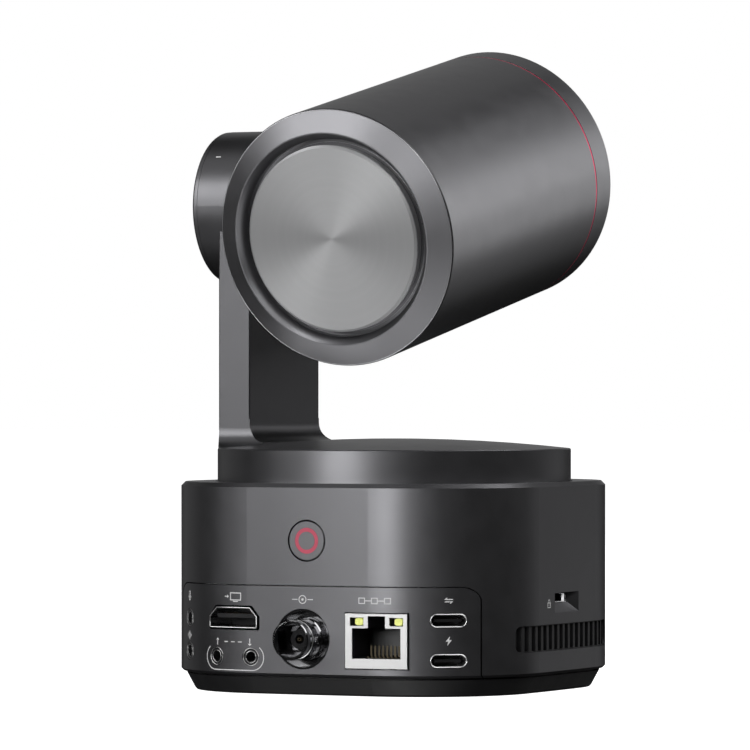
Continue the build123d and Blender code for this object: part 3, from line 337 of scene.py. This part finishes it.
def circuit_board():
    """Solder mask over copper tracks, with tinned vias between them."""
    material, tree, shader = new_material("circuit_board")
    at = place(tree)
    black, white = (0, 0, 0, 1), (1, 1, 1, 1)
    layout = {"Vector": at, "Scale": 1 / (6 * MM), "Mortar Size": 0.022, "Row Height": 0.2,
              "Brick Width": 1.3, "Color1": black, "Color2": black, "Mortar": white}
    tracks = add(tree, "TexBrick", layout, offset=0.37).outputs["Color"]
    via = between(tree, cells(tree, at, 2.6 * MM), 1, 0, 0.10, 0.13)
    mask = mixed(tree, noise(tree, at, 9 * MM, 3.0), (0.004, 0.035, 0.016), (0.006, 0.050, 0.022))
    copper = mixed(tree, tracks, mask, (0.020, 0.110, 0.045))
    put(
        tree, shader, Base_Color=mixed(tree, via, copper, (0.62, 0.60, 0.55)), Metallic=via,
        Roughness=between(tree, noise(tree, at, 4 * MM), 0.26, 0.38),
        Normal=relief(tree, tracks, 0.02 * MM),
    )
    return material


def flex_cable():
    """Amber polyimide ribbon over fine copper lines."""
    material, tree, shader = new_material("flex_cable")
    at = place(tree)
    waves = {"Vector": at, "Scale": 1 / (3.2 * MM)}
    lines = add(tree, "TexWave", waves, bands_direction="Y").outputs["Fac"]
    put(
        tree, shader, Base_Color=mixed(tree, lines, (0.20, 0.070, 0.012), (0.50, 0.220, 0.050)),
        Roughness=between(tree, noise(tree, at, 3 * MM), 0.25, 0.40),
        Normal=relief(tree, lines, 0.02 * MM),
    )
    return material


def crimson_trim():
    """The thin ring before the front bezel, anodised crimson, with a faint painted glow of its own colour."""
    # Painted glow: the trim gives off a little light of its own, though it is no lamp.
    glow = {"Emission_Color": (0.62, 0.015, 0.070, 1), "Emission_Strength": 0.10}
    return surface("crimson_trim", (0.62, 0.030, 0.105), 0.36, grain=0.2, depth=0.002, mottle=0.08,
                   spread=0.04, Metallic=0.7, **glow)[0]


def rose_light():
    """The button's lit ring: a frosted pipe with soft uneven light in it."""
    material, tree, shader = new_material("rose_light")
    at = place(tree)
    glow = noise(tree, at, 1.6 * MM, 2.0)
    colour = mixed(tree, glow, (0.28, 0.030, 0.055), (0.40, 0.042, 0.080))
    put(
        tree, shader, Base_Color=colour, Emission_Color=colour, Emission_Strength=0.35,
        Roughness=between(tree, glow, 0.40, 0.50),
        Normal=relief(tree, noise(tree, at, 0.15 * MM), 0.002 * MM),
    )
    return material


def front_glass():
    """Black glass, almost a mirror, with the faint waviness of a polished plate."""
    return surface("front_glass", (0.004, 0.004, 0.005), 0.04, grain=9, depth=0.004, mottle=0.3, spread=0.012,
                   Coat_Weight=1.0, Coat_Roughness=0.02)[0]


def coated_glass():
    """A lens element: dark, clear, and coated, so that what it mirrors turns green and violet."""
    material, tree, shader = surface("coated_glass", (0.016, 0.012, 0.030), 0.03, grain=12, depth=0.002,
                                     mottle=0.3, spread=0.01)
    put(tree, shader, Specular_Tint=(0.55, 0.75, 1.0, 1), Coat_Weight=1.0, Coat_Roughness=0.015, IOR=1.65,
        Thin_Film_Thickness=430.0, Thin_Film_IOR=1.38)
    return material


def marking_ink():
    """Pale ink of the printed marks, a little worn."""
    return surface("marking_ink", (0.66, 0.66, 0.66), 0.50, grain=0.10, depth=0.001, mottle=0.06,
                   spread=0.05)[0]


GRAPHITE = graphite_anodised()
BLACK = moulded_black()
SHELL = tinned_shell("tinned_shell", 0.60)
NICKEL = black_nickel()
GOLD = gold_plate()
SHADED_GOLD = shaded_gold()
INK = marking_ink()
STEEL = plated_steel()
LIP = tinned_shell("lip_nickel", 0.78, 0.30)
# Lighter metal for the turned edges' wires: a painted edge highlight.
EDGE_HIGHLIGHT = edge_highlight_metal()

FINISHES = {
    "housing_metal": GRAPHITE,
    "panel_metal": GRAPHITE,
    "button_cap": GRAPHITE,
    "foot_plastic": foot_black(),
    "rubber": foot_rubber(),
    "steel": STEEL,
    "grille": moulded_black("grille_black", 0.46, grain=0.22),
    "bright_shell": SHELL,
    "chrome": NICKEL,
    "contact": GOLD,
    "black_insulator": moulded_black("insulator_black", grain=0.20, depth=0.002, gloss=0.15),
    "black_plastic": BLACK,
    "lamp": port_lamp(),
    "circuit_board": circuit_board(),
    "cast_alloy": cast_alloy(),
    "winding": copper_winding(),
    "magnet": nickel_plate(),
    "red_light": rose_light(),
    "flex_cable": flex_cable(),
    "spun_disc": spun_aluminium(),
    "red_trim": crimson_trim(),
    "front_glass": front_glass(),
    "lens_glass": coated_glass(),
}
# Nodes whose finish is not their slot's usual one.
BY_NODE = {
    "hdmi_shell": tinned_shell("hdmi_nickel", 0.50, 0.20),
    "lan_shield": tinned_shell("shield_steel", 0.41),
    # Contacts deep in the sockets get gold darkened as painted shade.
    "lan_contacts": SHADED_GOLD,
    "sdi_contact": SHADED_GOLD,
}
for part in frame["record"]["subparts"]:
    node = NODES[part["node"]]
    node.data.materials.clear()
    node.data.materials.append(BY_NODE.get(part["node"], FINISHES[part["material_slot"]]))


# ------------------------------------------------------------------------------------------- pieces
CREASE = radians(35)
NEARLY_UPRIGHT = 0.9


def piece(name, verts, faces, material, slot, body):
    """A mesh piece that rides on a body. Its slot argument, the finish's slot in the record or None, is not used.
    """
    mesh = bpy.data.meshes.new(name)
    mesh.from_pydata([tuple(v) for v in verts], [], faces)
    mesh.materials.append(material)
    obj = bpy.data.objects.new(name, mesh)
    bpy.context.scene.collection.objects.link(obj)
    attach(obj, body)
    return obj


def across(axis):
    """Two unit vectors square to an axis and to each other, the second as near to up as it can be."""
    side = UP.cross(axis).normalized() if abs(axis.z) < NEARLY_UPRIGHT else Vector((1, 0, 0))
    return side, axis.cross(side).normalized()


def lathed(profile, at, axis, steps=96):
    """Verts and faces of a closed profile of (radius, along) turned round an axis through a point."""
    side, rise = across(axis)
    verts, faces, count = [], [], len(profile)
    for step in range(steps):
        turn = 2 * pi * step / steps
        out = side * cos(turn) + rise * sin(turn)
        verts += [at + out * radius + axis * along for radius, along in profile]
        for i in range(count):
            j, here, there = (i + 1) % count, step * count, (step + 1) % steps * count
            faces.append((here + i, here + j, there + j, there + i))
    return verts, faces


def smoothed(obj):
    """Smooth shading, kept sharp at edges over the crease angle."""
    obj.data.shade_smooth()
    obj.data.set_sharp_from_angle(angle=CREASE)
    return obj


def round_profile(radius, along, thick, steps=8):
    """The profile of a round wire bent to a ring."""
    turns = [2 * pi * i / steps for i in range(steps)]
    return [(radius + thick * cos(t), along + thick * sin(t)) for t in turns]


# ------------------------------------------------------------------------------------ printed marks
STROKE = 0.21
STROKE_STEP = 0.4
MITRE_LIMIT = 0.5
INK_LIFT = 0.015 * MM
INK_DEPTH = 0.04 * MM
RAY_START = 6 * MM


def wall_of(*names):
    """The outside of some nodes, for finding where a line meets it."""
    verts, faces = [], []
    for name in names:
        mesh = NODES[name].data
        first = len(verts)
        verts += [v.co.copy() for v in mesh.vertices]
        faces += [[first + i for i in face.vertices] for face in mesh.polygons]
    return BVHTree.FromPolygons(verts, faces)


def arc(x, y, radius, start, end, steps=8):
    """Points along an arc about (x, y), in degrees anticlockwise."""
    turns = [radians(start + (end - start) * i / steps) for i in range(steps + 1)]
    return [(x + radius * cos(t), y + radius * sin(t)) for t in turns]


def ribbon(points, width, closed=False):
    """The two edges of a stroke along points, mitred at its corners, with long runs divided."""
    path = []
    ends = points[1:] + points[:1] if closed else points[1:]
    for start, end in zip(points, ends):
        start, end = Vector(start), Vector(end)
        pieces = max(1, ceil((end - start).length / STROKE_STEP))
        path += [start.lerp(end, i / pieces) for i in range(pieces)]
    if not closed:
        path.append(Vector(points[-1]))
    edges, last = [], len(path) - 1
    for i, point in enumerate(path):
        before = path[i - 1] if closed or i > 0 else point
        after = path[(i + 1) % len(path)] if closed or i < last else point
        into, out = point - before, after - point
        into = into.normalized() if into.length > 0 else out.normalized()
        out = out.normalized() if out.length > 0 else into
        middle = (into + out).normalized()
        normal = Vector((-middle.y, middle.x))
        reach = width / 2 / max(MITRE_LIMIT, normal.dot(Vector((-into.y, into.x))))
        edges.append((point + normal * reach, point - normal * reach))
    return edges


def printed(name, wall, outside, inward, strokes=(), shapes=(), width=STROKE):
    """Ink on a wall: strokes and filled shapes in millimetres about the place where a line meets the wall."""
    spot, normal, _, _ = wall.ray_cast(outside, inward)
    normal = Vector((normal.x, normal.y, 0)).normalized()
    right = UP.cross(normal)
    verts, faces = [], []

    def on_wall(point, lift):
        """A point of the drawing, laid on the wall and lifted off it."""
        start = spot + (right * point[0] + UP * point[1]) * MM + normal * RAY_START
        hit, facing, _, _ = wall.ray_cast(start, -normal)
        return hit + facing * lift

    def prism(outline):
        """A thin closed block of ink under an outline."""
        first, count = len(verts), len(outline)
        verts.extend(on_wall(p, INK_LIFT) for p in outline)
        verts.extend(on_wall(p, INK_LIFT - INK_DEPTH) for p in outline)
        faces.append([first + i for i in range(count)])
        faces.append([first + count + i for i in reversed(range(count))])
        for i in range(count):
            here, there = first + i, first + (i + 1) % count
            faces.append([here, here + count, there + count, there])

    for stroke in strokes:
        closed = stroke[0] == stroke[-1]
        edges = ribbon(stroke[:-1] if closed else stroke, width, closed)
        pairs = zip(edges, edges[1:] + edges[:1] if closed else edges[1:])
        for (left_a, right_a), (left_b, right_b) in pairs:
            prism([left_a, right_a, right_b, left_b])
    for shape in shapes:
        prism([Vector(p) for p in shape])
    return piece(name, verts, faces, INK, None, "base")


# --------------------------------------------------------------------------- ports on the back wall
BACK_WALL = wall_of("base_housing", "io_panel")
# Over the panel and its sockets, where the wall is plain.
PLAIN_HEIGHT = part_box("io_panel")[1][2] + 2 * MM
FAR_BEHIND = 2 * CAD_BOX[1][1]
BEYOND_SOCKETS = 20 * MM
SAME_PLACE = 0.001 * MM


def wall_at(x):
    """The back wall's outside at a place along it, at the height where it is plain, and its normal there."""
    spot, normal, _, _ = BACK_WALL.ray_cast(Vector((x, FAR_BEHIND, PLAIN_HEIGHT)), Vector((0, -1, 0)))
    return spot, normal


def loose_parts(name):
    """The middle of each separate solid of a node, in order of X and then Z."""
    mesh = NODES[name].data
    group = {}

    def root(key):
        """The vertex that stands for all those joined to this one so far."""
        while group[key] != key:
            group[key] = group[group[key]]
            key = group[key]
        return key

    keys = [tuple(round(c / SAME_PLACE) for c in v.co) for v in mesh.vertices]
    for key in keys:
        group[key] = key
    for edge in mesh.edges:
        a, b = (root(keys[i]) for i in edge.vertices)
        group[a] = b
    parts = {}
    for key, vertex in zip(keys, mesh.vertices):
        parts.setdefault(root(key), []).append(vertex.co)
    middles = [Vector([(min(c[i] for c in part) + max(c[i] for c in part)) / 2 for i in range(3)])
               for part in parts.values()]
    return sorted(middles, key=lambda m: (round(m.x, 3), m.z))


def mouth_of(middle):
    """Where a socket's axis leaves the wall, and the wall's normal there, by a few steps of approach."""
    x = middle.x
    for _ in range(4):
        spot, normal = wall_at(x)
        x = middle.x + normal.x * (spot - middle).dot(normal)
    return Vector((spot.x, spot.y, middle.z)), normal


HDMI = mouth_of(loose_parts("hdmi_shell")[0])
SDI = mouth_of(loose_parts("sdi_cup")[0])
LAN = mouth_of(loose_parts("lan_shield")[0])
USB = [mouth_of(middle) for middle in loose_parts("usb_shells")]
SERIAL = [mouth_of(middle) for middle in loose_parts("serial_jacks")]
AUDIO = [mouth_of(middle) for middle in loose_parts("audio_jacks")]


def port_mark(name, port, above, strokes=(), shapes=(), width=STROKE):
    """A mark printed on the back wall, some millimetres above a port's middle."""
    spot, normal = port
    outside = spot + UP * above * MM + normal * BEYOND_SOCKETS
    return printed(name, BACK_WALL, outside, -normal, strokes, shapes, width)


def box_of(x, y, width, height):
    """A rectangle's outline as one closed stroke."""
    w, h = width / 2, height / 2
    return [(x - w, y - h), (x + w, y - h), (x + w, y + h), (x - w, y + h), (x - w, y - h)]


def arrow_head(x, y, dx, dy, size=0.5):
    """A filled triangle that points along (dx, dy)."""
    return [(x + dx * size, y + dy * size), (x - dy * size, y + dx * size), (x + dy * size, y - dx * size)]


def half_turned(points):
    """A shape turned half round its middle."""
    return [(-x, -y) for x, y in points]


def picture_and_network_marks():
    """A screen with an arrow out, a coaxial plug's section with its line, and three linked boxes."""
    screen = box_of(0.9, 0.25, 3.0, 1.7)
    stand, shaft = [(0.2, -0.95), (1.6, -0.95)], [(-2.4, 0.25), (-1.6, 0.25)]
    port_mark("mark_picture", HDMI, 4.85, [screen, stand, shaft], [arrow_head(-1.6, 0.25, 1, 0, 0.45)])
    sleeve, core = arc(0, 0, 0.95, 0, 360, 28), arc(0, 0, 0.32, 0, 324, 9)
    port_mark("mark_coaxial", SDI, 9.5, [sleeve, [(-2.8, 0), (-1.35, 0)], [(1.35, 0), (2.8, 0)]], [core])
    nets = [box_of(x, 0, 1.5, 1.3) for x in (-3.3, 0, 3.3)]
    port_mark("mark_network", LAN, 9.65, nets + [[(-2.45, 0), (-0.85, 0)], [(0.85, 0), (2.45, 0)]])


def data_and_power_marks():
    """Two arrows past each other, and a bolt, over the two slim sockets."""
    barb = [(-1.15, 0.17), (-0.35, 0.17), (-0.35, 0.80)]
    bolt = [(0.35, 1.15), (-0.75, -0.18), (0.0, -0.18), (0.12, 0.18)]
    lines = [[(-0.7, 0.28), (1.0, 0.28)], [(-1.0, -0.28), (0.7, -0.28)]]
    port_mark("mark_data", USB[1], 4.8, lines, [barb, half_turned(barb)], 0.24)
    port_mark("mark_power", USB[0], 4.8, (), [bolt, half_turned(bolt)])


def sound_marks():
    """A microphone over the upper sound jack, and a wave between the two."""
    capsule = arc(0, 0.65, 0.38, 0, 180, 8) + arc(0, 0.05, 0.38, 180, 360, 8)
    cradle, stem, foot = arc(0, 0.1, 0.8, 200, 340, 8), [(0, -0.7), (0, -1.1)], [(-0.5, -1.1), (0.5, -1.1)]
    port_mark("mark_microphone", AUDIO[1], 5.4, [capsule + capsule[:1], cradle, stem, foot])
    wave = [[(x, -h), (x, h)] for x, h in ((-1.1, 0.3), (-0.55, 0.75), (0, 1.05), (0.55, 0.6), (1.1, 0.25))]
    port_mark("mark_line_sound", AUDIO[0], 3.8, wave)


def serial_marks():
    """In and out arrows over the two serial jacks, and a bracket with round ends about them."""
    low, high = SERIAL[0][0], SERIAL[1][0]
    spot, normal = wall_at((low.x + high.x) / 2)
    middle = (Vector((spot.x, spot.y, low.z)), normal)
    half = (high - low).length / 2 / MM
    arrow_x = half - 0.3
    arrows = [[(-arrow_x, -0.85), (-arrow_x, 0.3)], [(arrow_x, 0.85), (arrow_x, -0.3)]]
    dashes = [[(-2.6, 0), (-1.5, 0)], [(-0.55, 0), (0.55, 0)], [(1.5, 0), (2.6, 0)]]
    heads = [arrow_head(-arrow_x, 0.4, 0, 1, 0.5), arrow_head(arrow_x, -0.4, 0, -1, 0.5)]
    port_mark("mark_serial", middle, 3.55, arrows + dashes, heads)
    reach, bottom, corner = half + 3.5, -3.25, 3.1
    left = arc(-reach + corner, bottom + corner, corner, 128, 270, 16)
    right = arc(reach - corner, bottom + corner, corner, -90, 52, 16)
    port_mark("mark_serial_bracket", middle, 0.0, [left + right])


def lock_mark():
    """A small padlock beside the lock slot, a little below its middle."""
    low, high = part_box("lock_plate")
    beside, below = 3.0 * MM, 0.5 * MM
    outside = Vector((2 * CAD_BOX[0][0], high[1] + beside, (low[2] + high[2]) / 2 - below))
    shackle = [(-0.45, 0.1), *arc(0, 0.45, 0.45, 180, 0, 8), (0.45, 0.1)]
    strokes = [shackle, box_of(0, -0.42, 1.5, 1.1), [(0, -0.2), (0, -0.6)]]
    printed("mark_lock", wall_of("base_housing"), outside, Vector((1, 0, 0)), strokes, width=0.2)


picture_and_network_marks()
data_and_power_marks()
sound_marks()
serial_marks()
lock_mark()


# --------------------------------------------------------------------------- details of the sockets
BEAD = 0.15
BEAD_SIDES = 8
LIP_STEPS = 14


def block_between(low, high, at, normal):
    """Verts and faces of a box in a port's frame: right, up and outward, in millimetres."""
    right = UP.cross(normal).normalized()
    rise = normal.cross(right)
    corners = [(x, y, z) for x in (low[0], high[0]) for y in (low[1], high[1]) for z in (low[2], high[2])]
    verts = [at + (right * x + rise * y + normal * z) * MM for x, y, z in corners]
    return verts, [(0, 1, 3, 2), (4, 6, 7, 5), (0, 4, 5, 1), (2, 3, 7, 6), (0, 2, 6, 4), (1, 5, 7, 3)]


def gathered(parts):
    """Several lists of verts and faces as one."""
    verts, faces = [], []
    for more_verts, more_faces in parts:
        first = len(verts)
        verts += more_verts
        faces += [[first + i for i in face] for face in more_faces]
    return verts, faces


def contact_row(port, count, pitch, width, heights, depths):
    """Thin contacts side by side on a socket's tongue, between two heights and two depths."""
    row = []
    for i in range(count):
        x = (i - (count - 1) / 2) * pitch
        low, high = zip((x - width / 2, x + width / 2), heights, depths)
        row.append(block_between(low, high, *port))
    return row


def socket_contacts():
    """The contacts on both faces of the tongues in the picture, data and power sockets, in gold darkened as
    painted shade.
    """
    depths = (-7.5, -2.4)
    hdmi = contact_row(HDMI, 10, pitch=1.0, width=0.4, heights=(0.9, 0.98), depths=depths)
    hdmi += contact_row(HDMI, 9, pitch=1.0, width=0.4, heights=(-0.18, -0.1), depths=depths)
    piece("hdmi_contacts", *gathered(hdmi), SHADED_GOLD, "contact", "base")
    depths = (-5.2, -1.5)
    usb = []
    for port in USB:
        for heights in ((0.35, 0.40), (-0.40, -0.35)):
            usb += contact_row(port, 12, pitch=0.5, width=0.26, heights=heights, depths=depths)
    piece("usb_contacts", *gathered(usb), SHADED_GOLD, "contact", "base")


def spans(name, port, reach=4.0):
    """Half the width and height, in millimetres, of a node's solid within reach of a port."""
    at, normal = port
    right = UP.cross(normal)
    near = [v.co - at for v in NODES[name].data.vertices if abs(v.co.z - at.z) < reach * MM]
    return max(abs(v.dot(right)) for v in near) / MM, max(abs(v.z) for v in near) / MM


def bead(points, port, out, thick=BEAD):
    """A rounded edge along a closed path on a port's face, in millimetres."""
    at, normal = port
    right = UP.cross(normal)
    verts, faces, count = [], [], len(points)
    for i, point in enumerate(points):
        along = (Vector(points[(i + 1) % count]) - Vector(points[i - 1])).normalized()
        side = Vector((-along.y, along.x))
        for step in range(BEAD_SIDES):
            turn = 2 * pi * step / BEAD_SIDES
            spot = Vector(point) + side * thick * cos(turn)
            verts.append(at + (right * spot.x + UP * spot.y + normal * (out + thick * sin(turn))) * MM)
    for i in range(count):
        for j in range(BEAD_SIDES):
            here, there, k = i * BEAD_SIDES, (i + 1) % count * BEAD_SIDES, (j + 1) % BEAD_SIDES
            faces.append((here + j, there + j, there + k, here + k))
    return verts, faces


def usb_lips():
    """The rolled bright lips at the mouths of the data and power sockets' shells."""
    sunk = -0.06
    lips = []
    for port in USB:
        half, high = spans("usb_shells", port)
        run, radius = half - high, high - BEAD
        path = arc(run, 0, radius, -90, 90, LIP_STEPS) + arc(-run, 0, radius, 90, 270, LIP_STEPS)
        lips.append(bead(path, port, sunk))
    smoothed(piece("usb_shell_lips", *gathered(lips), LIP, "bright_shell", "base"))


def hdmi_lip():
    """The bright lip of the picture socket's shell: a bar with its two upper corners cut away."""
    corner, shoulder, cut, sunk, thick = 0.4, 0.3, 2.1, -0.27, 0.11
    half, high = (span - BEAD for span in spans("hdmi_shell", HDMI, 6.0))
    bottom_left = arc(-half + corner, -high + corner, corner, 180, 270, 4)
    bottom_right = arc(half - corner, -high + corner, corner, -90, 0, 4)
    top = [(half, shoulder), (half - cut, high), (cut - half, high), (-half, shoulder)]
    lip = bead(bottom_left + bottom_right + top, HDMI, sunk, thick)
    smoothed(piece("hdmi_shell_lip", *lip, SHELL, "bright_shell", "base"))


def wire_ring(port, radius, along, thick, steps=96):
    """A round wire bent to a ring about a port's axis, in millimetres."""
    return lathed(round_profile(radius * MM, along * MM, thick * MM), *port, steps)


def jack_rims():
    """Two thin nickel rings at the mouth of each small jack, and the spring blade inside it."""
    outer_rim, inner_rim = (2.08, -0.10, 0.07), (1.42, -0.12, 0.06)
    blade = (0.55, -0.45, -6.5), (1.25, 0.45, -1.6)
    for name, ports in (("serial", SERIAL), ("audio", AUDIO)):
        rings = [wire_ring(port, *rim, steps=48) for rim in (outer_rim, inner_rim) for port in ports]
        smoothed(piece(name + "_jack_rims", *gathered(rings), SHELL, "bright_shell", "base"))
        blades = [block_between(*blade, *port) for port in ports]
        piece(name + "_jack_springs", *gathered(blades), STEEL, "contact", "base")


def sdi_rings():
    """The bright edge round the coaxial jack's mouth, and the snap ring at the step behind its collar."""
    mouth, snap_ring = (4.40, 6.34, 0.16), (4.63, 3.55, 0.10)
    rings = [wire_ring(SDI, *ring) for ring in (mouth, snap_ring)]
    smoothed(piece("sdi_bright_rings", *gathered(rings), LIP, "chrome", "base"))


def turned_outline(name):
    """The distance of a barrel node's vertices from the roll axis and their place along it."""
    offsets = [v.co - ROLL_AT for v in NODES[name].data.vertices]
    return [((v - ROLL_AXIS * v.dot(ROLL_AXIS)).length, v.dot(ROLL_AXIS)) for v in offsets]


def turned_edges():
    """Round wires along the edges of the rear bezel's cone and ridge, and two fine lines about the disc. They
    catch the lamps as rounded edges, and their lighter metal adds a painted edge highlight.
    """
    near, edge, line = 0.1 * MM, 0.07 * MM, 0.05 * MM
    ridge_in, face_in, gap_in, gap_out = 0.09 * MM, 0.75 * MM, 4.1 * MM, 0.45 * MM
    bezel, disc = turned_outline("rear_bezel"), turned_outline("rear_disc")
    ridge_at = min(along for _, along in bezel)
    ridge_radius = max(radius for radius, along in bezel if along < ridge_at + near)
    cone_radius = max(radius for radius, _ in bezel)
    cone_at = min(along for radius, along in bezel if radius > cone_radius - near)
    face_at = min(along for _, along in disc)
    disc_radius = max(radius for radius, _ in disc)
    wires = [
        (cone_radius, cone_at, edge),
        (ridge_radius, ridge_at + ridge_in, edge),
        (disc_radius, face_at + face_in, line),
        (disc_radius + gap_out, ridge_at + gap_in, line),
    ]
    parts = [lathed(round_profile(*wire), ROLL_AT, ROLL_AXIS, steps=160) for wire in wires]
    smoothed(piece("turned_edges", *gathered(parts), EDGE_HIGHLIGHT, "housing_metal", "barrel"))


def lock_edge():
    """The bright edge of the slot in the lock plate: along its bottom, and up its far end."""
    low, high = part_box("lock_plate")
    slot_bottom = high[2] - 3.95 * MM
    near_end, far_end, edge, end_height = -2.6, 3.5, 0.14, 2.0
    inner, outer = -0.6, 0.12
    edge_at = Vector((low[0], (low[1] + high[1]) / 2, slot_bottom)), Vector((-1, 0, 0))
    bottom = block_between((near_end, 0, inner), (far_end, edge, outer), *edge_at)
    end = block_between((far_end - edge, 0, inner), (far_end, end_height, outer), *edge_at)
    return piece("lock_slot_edge", *gathered([bottom, end]), satin_edge(), "steel", "base")


def hub_tick():
    """A short printed line on the hub's side, towards the back and up, that marks the level position."""
    low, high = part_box("hub_cap")
    slope, half_long, half_wide, sunk, proud, inset = 40, 0.65, 0.16, 0.3, 0.2, 0.3 * MM
    radius = (high[2] - low[2]) / 2
    outward = Vector((0, cos(radians(slope)), sin(radians(slope))))
    middle = Vector((low[0] - inset, (low[1] + high[1]) / 2, (low[2] + high[2]) / 2))
    tick = block_between((-half_long, -half_wide, -sunk), (half_long, half_wide, proud),
                         middle + outward * radius, outward)
    piece("hub_tick", *tick, INK, None, "yoke")


socket_contacts()
jack_rims()
sdi_rings()
usb_lips()
hdmi_lip()
turned_edges()
LOCK_EDGE = lock_edge()
hub_tick()


# ---------------------------------------------------------------------------- floor, sky and lights
MIDDLE = (CAD_BOX[0] + CAD_BOX[1]) / 2
LIGHT_DISTANCE = 1.2
FLOOR_HALF = 6.0
SKY_SEEN = 1.0
SKY_FELT = 0.01
BARREL = [NODES[name] for name in ("barrel_shell", "rear_bezel", "rear_disc", "red_ring", "front_bezel")]
BEZEL = [NODES["rear_bezel"]]


def softbox(name, left, up, wide, high, power, only=()):
    """A soft light that faces the object from some degrees left of the view and up.

    Its size is in degrees and its power in watts. Where some objects are given it falls only on them, like a
    lamp with flags round it.
    """
    data = bpy.data.lights.new(name, "AREA")
    data.shape = "RECTANGLE"
    data.size = 2 * LIGHT_DISTANCE * tan(radians(wide / 2)) * cos(radians(up))
    data.size_y = 2 * LIGHT_DISTANCE * tan(radians(high / 2))
    data.energy = power
    light = bpy.data.objects.new(name, data)
    towards = bearing(VIEW_AZIMUTH - left, up)
    light.location = MIDDLE + towards * LIGHT_DISTANCE
    light.rotation_mode = "QUATERNION"
    light.rotation_quaternion = towards.to_track_quat("Z", "Y")
    light.visible_camera = False
    bpy.context.scene.collection.objects.link(light)
    if only:
        lit = bpy.data.collections.new(name + "_falls_on")
        for obj in only:
            lit.objects.link(obj)
        light.light_linking.receiver_collection = lit


softbox("key", 45, 20, 25, 25, 1.0)
softbox("key_low", 34, 5, 25, 10, 4.7)
softbox("key_side", 72, 22, 20, 24, 4.3)
softbox("front", 8, 20, 25, 20, 1.6)
softbox("front_low", 0, -40, 40, 30, 1.2)
softbox("left_low", 30, -45, 30, 30, 3.1)
softbox("left_high", 90, 60, 40, 40, 0.75)
softbox("left_back", 135, 10, 40, 40, 0.4)
softbox("right_high", -40, 45, 40, 40, 4.6)
softbox("right", -90, 42, 30, 24, 7.0)
softbox("right_low", -108, 20, 25, 20, 1.4)
softbox("far_low", -128, -12, 30, 24, 0.28)
softbox("far_high", -165, 60, 50, 30, 0.45)
softbox("far_round", -178, 20, 40, 40, 0.7)
softbox("barrel_side", -127, 2, 24, 16, 0.85, BARREL)
softbox("barrel_side_high", -120, 14, 24, 16, 0.65, BARREL)
softbox("bezel_top", 30, 62, 40, 30, 9.5, BEZEL)
softbox("bezel_left_high", 48, 38, 30, 30, 3.7, BEZEL)
softbox("bezel_left_low", 60, -45, 40, 30, 7.0, BEZEL)
softbox("bezel_under", 102, -58, 40, 30, 2.5, BEZEL)
softbox("bezel_slope", 115, 62, 40, 30, 7.5, BEZEL)
softbox("bezel_front", 20, 0, 40, 30, 3.1, BEZEL)
softbox("bezel_right", -60, -20, 50, 50, 6.4, BEZEL)
softbox("lock_edge", 0, 3, 12, 12, 16.0, [LOCK_EDGE])


def studio_sky():
    """Pure white where the camera looks past the object, and a dim even fill everywhere else."""
    world = bpy.data.worlds.new("studio")
    world.use_nodes = True
    bpy.context.scene.world = world
    tree = world.node_tree
    tree.nodes.clear()
    seen = add(tree, "Background", {"Color": (1, 1, 1, 1), "Strength": SKY_SEEN}).outputs[0]
    felt = add(tree, "Background", {"Color": (1, 1, 1, 1), "Strength": SKY_FELT}).outputs[0]
    path = add(tree, "LightPath").outputs["Is Camera Ray"]
    both = add(tree, "MixShader", {0: path, 1: felt, 2: seen}).outputs[0]
    add(tree, "OutputWorld", {0: both})


def pale_floor():
    """A seamless white floor that glows evenly, so that it shows no edge."""
    mesh = bpy.data.meshes.new("floor")
    corners = [(-1, -1, 0), (1, -1, 0), (1, 1, 0), (-1, 1, 0)]
    mesh.from_pydata([Vector(corner) * FLOOR_HALF for corner in corners], [], [(0, 1, 2, 3)])
    material, tree, shader = new_material("pale_floor")
    grain = noise(tree, place(tree), 0.4, 2.0)
    put(tree, shader, Base_Color=mixed(tree, grain, (0.79, 0.79, 0.79), (0.81, 0.81, 0.81)), Roughness=0.9,
        Emission_Color=(1, 1, 1, 1), Emission_Strength=1.1)
    mesh.materials.append(material)
    obj = bpy.data.objects.new("floor", mesh)
    bpy.context.scene.collection.objects.link(obj)
    obj.visible_glossy = False
    obj.visible_diffuse = False
    obj.visible_shadow = False


def set_camera():
    """The camera, level and far off, so that the object stands where the view has it."""
    data = bpy.data.cameras.new("camera")
    data.lens, data.sensor_width = LENS, SENSOR
    data.clip_start, data.clip_end = 0.05, 50
    camera = bpy.data.objects.new("camera", data)
    back = bearing(VIEW_AZIMUTH)
    right = UP.cross(back)
    camera.location = back * VIEW_DISTANCE - right * EYE_LEFT + UP * EYE_HEIGHT
    camera.rotation_mode = "QUATERNION"
    camera.rotation_quaternion = back.to_track_quat("Z", "Y")
    bpy.context.scene.collection.objects.link(camera)
    bpy.context.scene.camera = camera


studio_sky()
pale_floor()
set_camera()
bpy.context.scene.view_settings.view_transform = "Standard"
